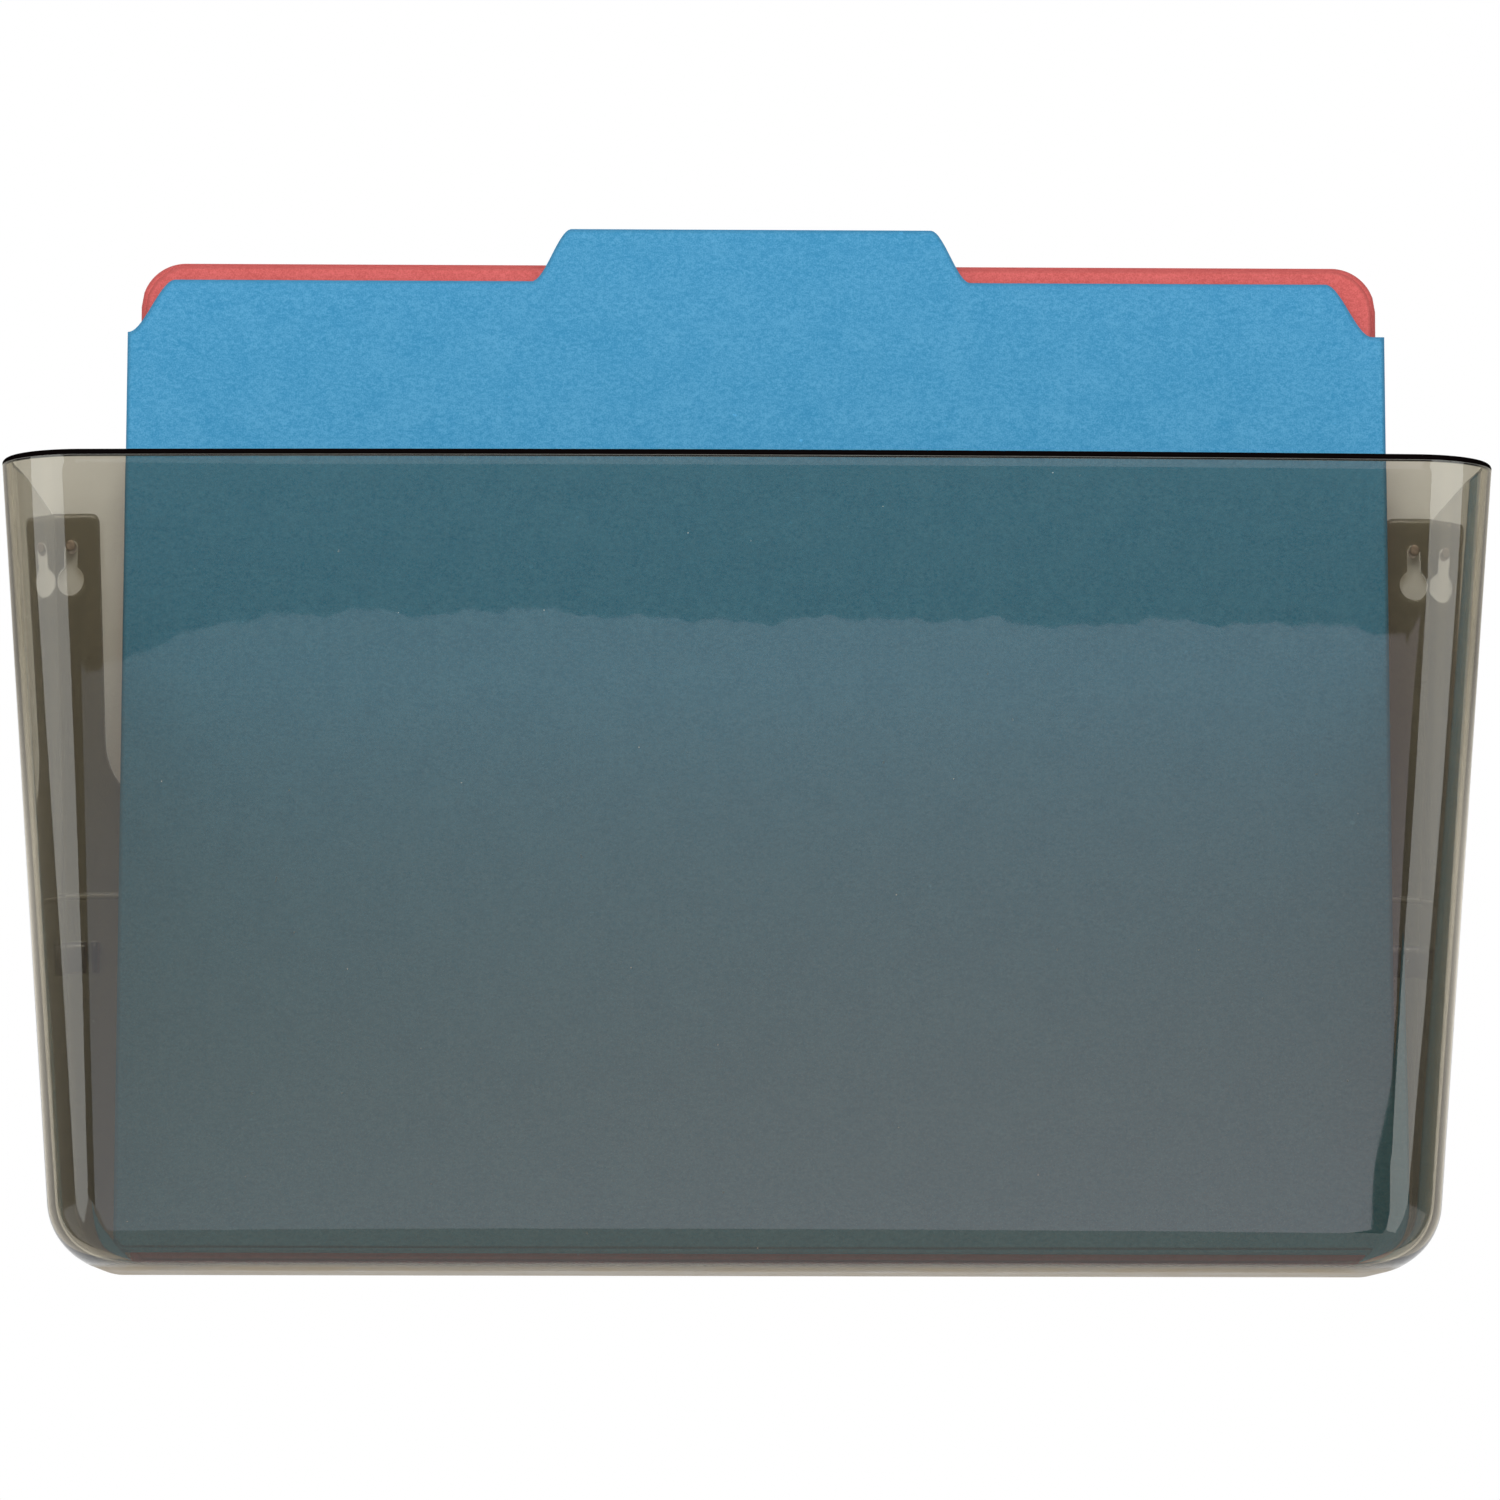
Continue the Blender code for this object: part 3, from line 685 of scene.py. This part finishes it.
# %% Turn the pins
def turned_pin(name, x):
    """A pin along +Y at x: (distance along, radius) pairs turned through a full circle of 40 steps."""
    along = np.array([-0.0047, -0.0047, -0.00466, -0.00455, -0.0043, -0.0030, 0.0, 0.0145, 0.0160, 0.0180])
    radius = np.array([0.0, 0.0008, 0.00107, 0.00126, 0.00135, 0.00135, 0.00135, 0.00135, 0.0008, 0.0])
    t = np.linspace(0, math.tau, 41)[None, :]
    grid = points(x + radius[:, None] * np.cos(t), along[:, None], radius[:, None] * np.sin(t))
    return skin_from_grids(name, [grid])


left_pin = turned_pin("left_wall_pin", -PIN_X)
right_pin = turned_pin("right_wall_pin", PIN_X)
for pin, node in ((left_pin, "hanging_pin_left"), (right_pin, "hanging_pin_right")):
    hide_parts(node)
    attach(pin, "wall_pins")

# %% [markdown]
# ## Materials
#
# Every finish is a small node tree on the pieces' own Object coordinates, in metres. A helper adds a node
# and sets its inputs by name, so that each tree reads as a list.

# %% Helpers for node trees
def new_finish(name):
    """A material with an empty node tree but for its output, and that output."""
    finish = bpy.data.materials.new(name)
    finish.use_nodes = True
    finish.node_tree.nodes.clear()
    return finish, finish.node_tree.nodes.new("ShaderNodeOutputMaterial")


def add_node(finish, kind, settings=None, **inputs):
    """A new node. settings are its own choices, and inputs are values or sockets, by the sockets' names."""
    node = finish.node_tree.nodes.new(kind)
    for name, value in (settings or {}).items():
        setattr(node, name, value)
    for name, value in inputs.items():
        key = int(name[1:]) if name.startswith("n") else name.replace("_", " ")
        socket = node.inputs[key]
        if isinstance(value, bpy.types.NodeSocket):
            finish.node_tree.links.new(value, socket)
        else:
            socket.default_value = value
    return node


def math_of(finish, operation, first, second=0.0):
    """One Math node's result."""
    return add_node(finish, "ShaderNodeMath", {"operation": operation}, n0=first, n1=second).outputs[0]


def times(finish, first, second):
    """The product of two values."""
    return math_of(finish, "MULTIPLY", first, second)


def distance_from(finish, value, middle):
    """How far a value lies from a middle, on either side."""
    return math_of(finish, "ABSOLUTE", math_of(finish, "SUBTRACT", value, middle))


def mix_of(finish, share, first, second):
    """A colour on the way from the first to the second. Each is red, green and blue, or a socket."""
    ends = [(*colour, 1) if isinstance(colour, tuple) else colour for colour in (first, second)]
    mixed = add_node(finish, "ShaderNodeMix", {"data_type": "RGBA"}, n0=share, n6=ends[0], n7=ends[1])
    return mixed.outputs[2]


def noise_of(finish, place, scale, stretch=(1, 1, 1), detail=3.0, roughness=0.5):
    """A noise pattern's value, 0 to 1, on Object coordinates stretched by a Mapping node."""
    mapping = add_node(finish, "ShaderNodeMapping", Vector=place, Scale=stretch)
    inputs = {"Scale": scale, "Detail": detail, "Roughness": roughness}
    return add_node(finish, "ShaderNodeTexNoise", Vector=mapping.outputs[0], **inputs).outputs[0]


def ramp_of(finish, value, low, high, to_low=0.0, to_high=1.0):
    """A value moved from the range low..high to another range, and kept inside it."""
    return add_node(
        finish, "ShaderNodeMapRange", {"clamp": True}, n0=value, n1=low, n2=high, n3=to_low, n4=to_high
    ).outputs[0]


def object_place(finish):
    """The Object coordinates of the piece."""
    return add_node(finish, "ShaderNodeTexCoord").outputs["Object"]


# %% [markdown]
# ### Smoke plastic
#
# The real pocket is clear polystyrene with a grey-brown tint, polished in the mould. Light that runs along
# a wall or round an edge grows darker than light that crosses it once, but not as much as its depth alone
# would make it. So half of the tint is a Volume Absorption inside, and the other half is the base colour
# of a Principled glass, which counts only where light goes in or out. Light for the papers behind
# it would be noisy if it had to find its way through refraction, so rays from lamps, and rays that have
# already left a dull surface, pass it straight through a Transparent shader. The volume still tints them.
# Along the front's rim the round edge pipes light down into the wall, and the eye meets only dark depth
# there. That black line is painted shade: a dark tint on the edge alone draws it, and it also takes away
# the edge's gloss and its light through. The foot is dull, and its tan band is painted light that stands in
# for the bright light seen through the foot. The crest of the rib at the back is partly dull and pale, a
# painted highlight for the lamps' reflection on it. The lugs are the thickest spots of the plate and look
# darker: the volume darkens them by their depth, and a deeper tint on their faces adds painted shade.

# %% The smoke plastic
CLEAR_TINT = (0.660, 0.638, 0.585)
# Painted shade: a near black for the edge of the front's rim.
RIM_PAINTED_SHADE = (0.003, 0.002, 0.002)
# Painted light: a tan for the foot, which stands in for the bright light seen through it.
FOOT_PAINTED_LIGHT = (0.40, 0.285, 0.13)
# Painted shade: a deeper, purplish tint for the faces of the lugs.
LUG_PAINTED_SHADE = (0.36, 0.29, 0.31)
DEPTH_TINT = (0.4035, 0.3455, 0.1533)
LAMP_TINT = (0.78, 0.765, 0.73)
RIM_TOP = UNDERSIDE + HEIGHT
LUG_EDGE = half_width(LUG_MIDDLE) - WALL - LUG_WIDE

smoke, smoke_out = new_finish("smoke_plastic")
smoke_place = object_place(smoke)
fine_dust = noise_of(smoke, smoke_place, 560.0, detail=1.0)
dust_spots = ramp_of(smoke, fine_dust, 0.80, 0.84)
scuffs_and_foot_light = noise_of(smoke, smoke_place, 90.0, stretch=(1, 1, 5), detail=5.0, roughness=0.65)
polish = ramp_of(smoke, scuffs_and_foot_light, 0.35, 0.75, 0.006, 0.026)
speckled = math_of(smoke, "MAXIMUM", polish, times(smoke, dust_spots, 0.3))
see_through = math_of(smoke, "SUBTRACT", 1.0, times(smoke, dust_spots, 0.07))
smoke_x, smoke_y, smoke_z = add_node(smoke, "ShaderNodeSeparateXYZ", Vector=smoke_place).outputs
# Painted shade along the front's rim: a near-black colour, with no gloss and no light through the edge.
at_rim = ramp_of(smoke, smoke_z, RIM_TOP - 0.0015, RIM_TOP - 0.0013)
rim_painted_shade_mask = times(smoke, at_rim, ramp_of(smoke, smoke_y, -0.066, -0.086))
# Painted light along the foot: a dull tan band where bright light comes through the real foot.
at_foot = ramp_of(smoke, smoke_z, UNDERSIDE + 0.0007, UNDERSIDE + 0.0021, 1.0, 0.0)
foot_painted_light_mask = times(smoke, at_foot, ramp_of(smoke, scuffs_and_foot_light, 0.30, 0.60, 0.55, 0.75))
# Painted shade on the faces of the lugs.
lug_off = distance_from(smoke, smoke_z, UNDERSIDE + LUG_MIDDLE)
lug_up = ramp_of(smoke, lug_off, LUG_TALL / 2 - 0.0001, LUG_TALL / 2 + 0.0002, 1.0, 0.0)
lug_across = ramp_of(smoke, distance_from(smoke, smoke_x, 0.0), LUG_EDGE - 0.0001, LUG_EDGE + 0.0002)
lug_painted_shade_mask = times(smoke, times(smoke, lug_up, lug_across), ramp_of(smoke, smoke_y, -0.0042, -0.0036))
# Painted highlight on the crest of the rib: it turns partly pale and dull where the lamps would reflect.
rib_off = distance_from(smoke, smoke_z, UNDERSIDE + RIB_MIDDLE)
rib_up = ramp_of(smoke, rib_off, RIB_WIDE / 4, RIB_WIDE / 2, 1.0, 0.0)
rib_painted_highlight_mask = times(smoke, rib_up, ramp_of(smoke, smoke_y, -0.0042, -0.0034))
# The base colour: the plastic's own tint, with the painted shade of rim and lugs and the painted light of
# the foot.
tint_with_painted_light_and_shade = mix_of(smoke, rim_painted_shade_mask, CLEAR_TINT, RIM_PAINTED_SHADE)
tint_with_painted_light_and_shade = mix_of(smoke, foot_painted_light_mask, tint_with_painted_light_and_shade, FOOT_PAINTED_LIGHT)
tint_with_painted_light_and_shade = mix_of(smoke, lug_painted_shade_mask, tint_with_painted_light_and_shade, LUG_PAINTED_SHADE)
clear_share = math_of(smoke, "SUBTRACT", see_through, times(smoke, rib_painted_highlight_mask, 0.35))
clear_share = times(smoke, clear_share, math_of(smoke, "SUBTRACT", 1.0, foot_painted_light_mask))
clear_share = times(smoke, clear_share, math_of(smoke, "SUBTRACT", 1.0, rim_painted_shade_mask))
dulled = math_of(smoke, "MAXIMUM", speckled, times(smoke, foot_painted_light_mask, 0.7))
flow = noise_of(smoke, smoke_place, 26.0, stretch=(1, 1, 0.6), detail=2.0)
flow_bump = add_node(smoke, "ShaderNodeBump", Strength=0.04, Distance=0.001, Height=flow)
smoke_body = add_node(
    smoke, "ShaderNodeBsdfPrincipled", Base_Color=tint_with_painted_light_and_shade, Roughness=dulled, IOR=IOR,
    Transmission_Weight=clear_share, Normal=flow_bump.outputs[0],
    Specular_IOR_Level=ramp_of(smoke, rim_painted_shade_mask, 0.0, 1.0, 0.5, 0.0)
)
lamp_way = add_node(smoke, "ShaderNodeBsdfTransparent", Color=(*LAMP_TINT, 1))
ray = add_node(smoke, "ShaderNodeLightPath")
after_dull = math_of(smoke, "GREATER_THAN", ray.outputs["Diffuse Depth"], 0.5)
straight_on = math_of(smoke, "MAXIMUM", ray.outputs["Is Shadow Ray"], after_dull)
smoke_mix = add_node(
    smoke, "ShaderNodeMixShader", n0=straight_on, n1=smoke_body.outputs[0], n2=lamp_way.outputs[0]
)
smoke_depth = add_node(smoke, "ShaderNodeVolumeAbsorption", Color=(*DEPTH_TINT, 1), Density=300.0)
smoke.node_tree.links.new(smoke_mix.outputs[0], smoke_out.inputs["Surface"])
smoke.node_tree.links.new(smoke_depth.outputs[0], smoke_out.inputs["Volume"])
smoke_shell.data.materials.append(smoke)
print("smoke plastic on", smoke_shell.name)


# %% [markdown]
# ### Card
#
# Folder card is uncoated and dyed in the pulp. Close up it is mottled: clouds a centimetre wide, fibres
# that lie mostly across the sheet, and here and there a pale or dark fleck. It has no gloss to speak of.

# %% Blue and red card
def card_finish(name, colour, pale, dark, flecks):
    """Dyed card: colour blended towards a paler and a darker shade by clouds, fibres and flecks."""
    card, out = new_finish(name)
    place = object_place(card)
    clouds = noise_of(card, place, 110.0, detail=4.0)
    fibres = noise_of(card, place, 1150.0, stretch=(0.6, 1, 1), detail=4.0, roughness=0.7)
    grain = noise_of(card, place, 2900.0, detail=2.0, roughness=0.6)
    tone = math_of(card, "ADD", times(card, clouds, 0.12), times(card, fibres, 0.42))
    tone = math_of(card, "ADD", tone, times(card, grain, 0.46))
    shades = mix_of(card, ramp_of(card, tone, 0.41, 0.59), dark, pale)
    fleck_noise = noise_of(card, place, 310.0, stretch=(1, 1, 1.6), detail=1.0)
    fleck = ramp_of(card, fleck_noise, 0.80, 0.83, 0.0, flecks)
    flecked = mix_of(card, fleck, shades, tuple(min(1.0, c * 1.6 + 0.05) for c in colour))
    from_edge = add_node(card, "ShaderNodeAttribute", {"attribute_name": "from_edge"}).outputs["Fac"]
    # The card turns darker within a millimetre of its cut edge.
    darker_towards_edge = ramp_of(card, from_edge, 0.0003, 0.0009, 0.62, 0.0)
    edged = mix_of(card, darker_towards_edge, flecked, tuple(c * 0.55 for c in colour))
    rough = ramp_of(card, fibres, 0.3, 0.7, 0.74, 0.9)
    height = math_of(card, "ADD", fibres, times(card, grain, 0.5))
    bump = add_node(card, "ShaderNodeBump", Strength=0.35, Distance=0.00012, Height=height)
    body = add_node(
        card, "ShaderNodeBsdfPrincipled", Base_Color=edged, Roughness=rough, Specular_IOR_Level=0.22,
        Normal=bump.outputs[0]
    )
    card.node_tree.links.new(body.outputs[0], out.inputs["Surface"])
    return card


blue, blue_pale, blue_dark = (0.058, 0.314, 0.555), (0.094, 0.363, 0.612), (0.031, 0.263, 0.497)
red, red_pale, red_dark = (0.68, 0.13, 0.12), (0.745, 0.157, 0.15), (0.605, 0.102, 0.094)
blue_card = card_finish("blue_card", blue, blue_pale, blue_dark, 0.35)
red_card = card_finish("red_card", red, red_pale, red_dark, 0.3)
for leaf, node, card, body in leaves:
    leaf.data.materials.append(blue_card if card == "blue_card" else red_card)
    print(leaf.name, "is", card)

# %% [markdown]
# ### Pin steel
#
# The pins are dull and brown with age: dark metal with a rough, patchy film.

# %% Dull brown steel
pin_steel, pin_out = new_finish("pin_steel")
pin_place = object_place(pin_steel)
film = noise_of(pin_steel, pin_place, 900.0, detail=5.0, roughness=0.7)
film_share = ramp_of(pin_steel, film, 0.4, 0.62)
film_colour = mix_of(pin_steel, film_share, (0.24, 0.17, 0.13), (0.42, 0.34, 0.28))
film_rough = ramp_of(pin_steel, film, 0.35, 0.65, 0.62, 0.38)
film_metal = ramp_of(pin_steel, film, 0.4, 0.62, 0.35, 0.95)
film_bump = add_node(pin_steel, "ShaderNodeBump", Strength=0.3, Distance=0.00005, Height=film)
pin_body = add_node(
    pin_steel, "ShaderNodeBsdfPrincipled", Base_Color=film_colour, Roughness=film_rough,
    Metallic=film_metal, Normal=film_bump.outputs[0]
)
pin_steel.node_tree.links.new(pin_body.outputs[0], pin_out.inputs["Surface"])
for pin in (left_pin, right_pin):
    pin.data.materials.append(pin_steel)

# %% [markdown]
# ## The studio
#
# The pocket hangs on a white wall over a pale floor. The wall shows itself only from the front, so views
# from behind see the pocket and not the wall. Both are white to the camera, to gloss and to glass, and
# behind the plastic the wall still takes the soft shade that the pocket throws on it. It keeps no light
# from the back of the pocket, or views from behind would find the folders in the dark.

# %% The wall and the floor
def stage_grid(name, grid, finish):
    """A stage piece from one grid of points, which is no part of the object."""
    mesh = bpy.data.meshes.new(name)
    mesh.from_pydata(grid.reshape(-1, 3).tolist(), [], face_corners(*grid.shape[:2]).tolist())
    mesh.materials.append(finish)
    obj = bpy.data.objects.new(name, mesh)
    scene.collection.objects.link(obj)
    return obj


def white_stage(name, shaded_by_pocket, seen_from_behind):
    """A finish that is white to the camera, to gloss and through glass.

    If the pocket shades it, the part from the pocket's underside up to just above its rim stays a lit
    surface for what looks through the plastic.
    """
    finish, out = new_finish(name)
    ray = add_node(finish, "ShaderNodeLightPath")
    lit = add_node(finish, "ShaderNodeBsdfDiffuse", Color=(0.95, 0.95, 0.95, 1))
    white = add_node(finish, "ShaderNodeEmission", Color=(1, 1, 1, 1), Strength=1.0)
    direct = math_of(finish, "MAXIMUM", ray.outputs["Is Reflection Ray"], ray.outputs["Is Camera Ray"])
    axes = add_node(finish, "ShaderNodeSeparateXYZ", Vector=object_place(finish))
    above_base = ramp_of(finish, axes.outputs["Z"], UNDERSIDE - 0.001, UNDERSIDE + 0.004)
    below_rim = ramp_of(finish, axes.outputs["Z"], RIM_TOP, RIM_TOP + 0.027, 1.0, 0.0)
    shaded = times(finish, times(finish, above_base, below_rim), 0.96 * shaded_by_pocket)
    unshaded = math_of(finish, "SUBTRACT", 1.0, shaded)
    through = times(finish, ray.outputs["Is Transmission Ray"], unshaded)
    share = math_of(finish, "MAXIMUM", direct, through)
    first = math_of(finish, "LESS_THAN", ray.outputs["Diffuse Depth"], 0.5)
    share = times(finish, share, first)
    body = add_node(finish, "ShaderNodeMixShader", n0=share, n1=lit.outputs[0], n2=white.outputs[0])
    if not seen_from_behind:
        clear = add_node(finish, "ShaderNodeBsdfTransparent")
        behind = add_node(finish, "ShaderNodeNewGeometry").outputs["Backfacing"]
        body = add_node(finish, "ShaderNodeMixShader", n0=behind, n1=body.outputs[0], n2=clear.outputs[0])
    finish.node_tree.links.new(body.outputs[0], out.inputs["Surface"])
    return finish


FLOOR_Z = -0.85
STUDIO_Y = 0.0004
STUDIO_HALF = 2.5
across_studio = np.linspace(-STUDIO_HALF, STUDIO_HALF, 3)
wall_x, wall_z = np.meshgrid(across_studio, np.linspace(FLOOR_Z, 2.0, 3))
wall_grid = points(wall_x, STUDIO_Y, wall_z)
floor_x, floor_y = np.meshgrid(across_studio, np.linspace(-2.2, STUDIO_Y, 3))
floor_grid = points(floor_x, floor_y, FLOOR_Z)
studio_wall = stage_grid("studio_wall", wall_grid, white_stage("wall_white", 1.0, False))
stage_grid("studio_floor", floor_grid, white_stage("floor_pale", 0.0, True))
studio_wall.visible_diffuse = False
studio_wall.visible_shadow = False
print("the floor lies", -FLOOR_Z, "m below the pins")

# %% [markdown]
# Plastic this smooth shows the room in front of it. A dim room and one pale board, low in front, are all
# that its flat panel reflects, and two bright upright cards draw the pale stripes in the round corners. A
# warm card on the wall at each side lightens the outermost bands, and past it the wall is as dim as the
# room. None of them is seen by the camera or through the plastic, and none lights anything: they are there
# for gloss alone.

# %% The dim room and the pale board that the plastic reflects
def glow(name, bottom, top, low_z, high_z, left, right):
    """A glow whose strength changes with height and whose colour changes from left to right."""
    finish, out = new_finish(name)
    axes = add_node(finish, "ShaderNodeSeparateXYZ", Vector=object_place(finish))
    strength = ramp_of(finish, axes.outputs["Z"], low_z, high_z, bottom, top)
    across = ramp_of(finish, axes.outputs["X"], -0.4, 0.4)
    colour = mix_of(finish, across, left, right)
    light = add_node(finish, "ShaderNodeEmission", Color=colour, Strength=strength)
    finish.node_tree.links.new(light.outputs[0], out.inputs["Surface"])
    return finish


def even_glow(name, strength, colour):
    """A glow that is the same all over."""
    return glow(name, strength, strength, 0.0, 1.0, colour, colour)


def for_gloss_only(obj):
    """Only reflections see this stage piece."""
    obj.visible_camera = False
    obj.visible_diffuse = False
    obj.visible_transmission = False
    obj.visible_volume_scatter = False
    obj.visible_shadow = False


board_s = np.linspace(0, 1, 361)[None, :]
board_v = np.linspace(0, 1, 31)[:, None]
right_edge = [
    (0, 0.70), (0.14, 0.54), (0.38, 0.385), (0.49, 0.338), (0.66, 0.328), (0.81, 0.308), (1, 0.287)
]
board_right = np.interp(board_v, *zip(*right_edge))
board_x = blend(-0.52, board_right, board_s)
from_middle = np.clip(board_x - 0.03, -0.265, 0.34)
board_top = -0.302 + 0.264 * from_middle**2 - 0.008 * ease(-board_x, 0.26, 0.37)
board_low = -0.580 + 0.300 * from_middle**2
ragged = 9e-4 * np.sin(131 * board_x + 1.0) + 7e-4 * np.sin(287 * board_x + 2.2)
ragged = ragged + 5e-4 * np.sin(541 * board_x)
board_z = blend(board_top + ragged, board_low, board_v)
board_grid = points(board_x, -1.3, board_z)
board_finish = glow("board_glow", 1.70, 0.79, -0.58, -0.30, (0.90, 0.97, 1.06), (1.30, 1.20, 1.33))
for_gloss_only(stage_grid("pale_board", board_grid, board_finish))


def side_card(name, side, inner, outer):
    """A bright upright card for gloss alone: azimuths between two edges that change with height.

    inner and outer are (z, azimuth in degrees from -Y) pairs, and it stands 1.2 m off the corner.
    """
    z = np.linspace(-0.76, 0.7, 74)[:, None]
    low_edge = np.interp(z, *zip(*inner))
    high_edge = np.interp(z, *zip(*outer))
    turn = np.radians(blend(low_edge, high_edge, np.linspace(0, 1, 13)[None, :]))
    away = 1.2
    grid = points(side * (0.15 + away * np.sin(turn)), -0.09 - away * np.cos(turn), z)
    for_gloss_only(stage_grid(name, grid, even_glow(name + "_glow", 2.7, (0.98, 1.0, 0.98))))


left_inner = [(-0.76, 52), (-0.62, 40), (-0.51, 30.5), (-0.41, 28), (-0.28, 31), (-0.12, 36), (0.7, 38)]
left_outer = [(-0.76, 53), (-0.62, 56), (-0.46, 57), (-0.35, 64), (-0.24, 72.5), (-0.12, 80), (0.7, 84)]
right_inner = [(-0.76, 33), (-0.62, 17), (-0.51, 7), (-0.42, 15), (-0.33, 25), (-0.23, 32), (0.7, 36)]
right_outer = [(-0.76, 34), (-0.62, 40), (-0.48, 44), (-0.36, 60), (-0.23, 73), (-0.12, 79), (0.7, 84)]
side_card("side_card_left", -1, left_inner, left_outer)
side_card("side_card_right", 1, right_inner, right_outer)

room_glow = even_glow("room_glow", 0.2, (1, 1, 1))
WARM = (1.0, 0.93, 0.80)
warm = glow("edge_card_glow", 1.72, 0.75, -0.085, -0.03, WARM, WARM)
for name, side in (("left", -1), ("right", 1)):
    bands = (("edge_card", 0.19, 0.45, warm), ("dim_wall", 0.45, STUDIO_HALF, room_glow))
    for kind, start, end, finish in bands:
        edge_x, edge_z = np.meshgrid(side * np.linspace(start, end, 9), np.linspace(-0.84, 1.2, 9))
        edge_grid = points(edge_x, -0.0006, edge_z)
        for_gloss_only(stage_grid(kind + "_" + name, edge_grid, finish))

room_turn = np.radians(np.linspace(-92, 92, 33))[None, :]
room_z = np.array([-1.4, -0.6, 0.4, 1.4, 2.4])[:, None]
room_grid = points(2.6 * np.sin(room_turn), -2.6 * np.cos(room_turn), room_z)
for_gloss_only(stage_grid("dim_room", room_grid, room_glow))

# %% [markdown]
# The light comes from above and in front, at some forty degrees. It falls over the rim onto the folders,
# and less and less of it gets down between them and the front, which is why the panel darkens downwards.
# A low lamp at each side and the world fill in evenly, and one more lights the back for views from there.

# %% Lamps and world
def softbox(name, place, aim, width, tall, brightness):
    """A rectangular lamp that looks at aim. Its power is brightness * pi * area."""
    data = bpy.data.lights.new(name, "AREA")
    data.shape = "RECTANGLE"
    data.size = width
    data.size_y = tall
    data.energy = brightness * math.pi * width * tall
    lamp = bpy.data.objects.new(name, data)
    scene.collection.objects.link(lamp)
    towards = np.array(aim, float) - np.array(place, float)
    azimuth = math.atan2(-towards[0], towards[1])
    rise = math.atan2(towards[2], math.hypot(towards[0], towards[1]))
    turn = Matrix.Rotation(azimuth, 3, "Z") @ Matrix.Rotation(math.pi / 2 + rise, 3, "X")
    lamp.location = place
    lamp.rotation_euler = turn.to_euler()
    return lamp


softbox("softbox_key", (-0.15, -1.25, 0.95), (0.0, 0.0, -0.02), 1.7, 0.9, 4.4)
softbox("softbox_left", (-1.6, -1.0, 0.1), (-0.1, -0.05, -0.1), 0.5, 1.0, 1.2)
softbox("softbox_right", (1.6, -1.0, 0.1), (0.1, -0.05, -0.1), 0.5, 1.0, 1.2)
softbox("softbox_behind", (0.5, 1.5, 0.7), (0.0, 0.0, -0.02), 1.2, 0.9, 1.5)

AMBIENT = 0.38
world = bpy.data.worlds.new("studio_world")
scene.world = world
world.use_nodes = True
world.node_tree.nodes.clear()
world_ray = add_node(world, "ShaderNodeLightPath").outputs
world_out = add_node(world, "ShaderNodeOutputWorld")
fill = add_node(world, "ShaderNodeBackground", Color=(1, 1, 1, 1), Strength=AMBIENT)
white = add_node(world, "ShaderNodeBackground", Color=(1, 1, 1, 1), Strength=1.0)
seen = math_of(world, "MAXIMUM", world_ray["Is Glossy Ray"], world_ray["Is Transmission Ray"])
seen = math_of(world, "MAXIMUM", seen, world_ray["Is Camera Ray"])
seen = times(world, seen, math_of(world, "LESS_THAN", world_ray["Diffuse Depth"], 0.5))
world_mix = add_node(world, "ShaderNodeMixShader", n0=seen, n1=fill.outputs[0], n2=white.outputs[0])
world.node_tree.links.new(world_mix.outputs[0], world_out.inputs["Surface"])
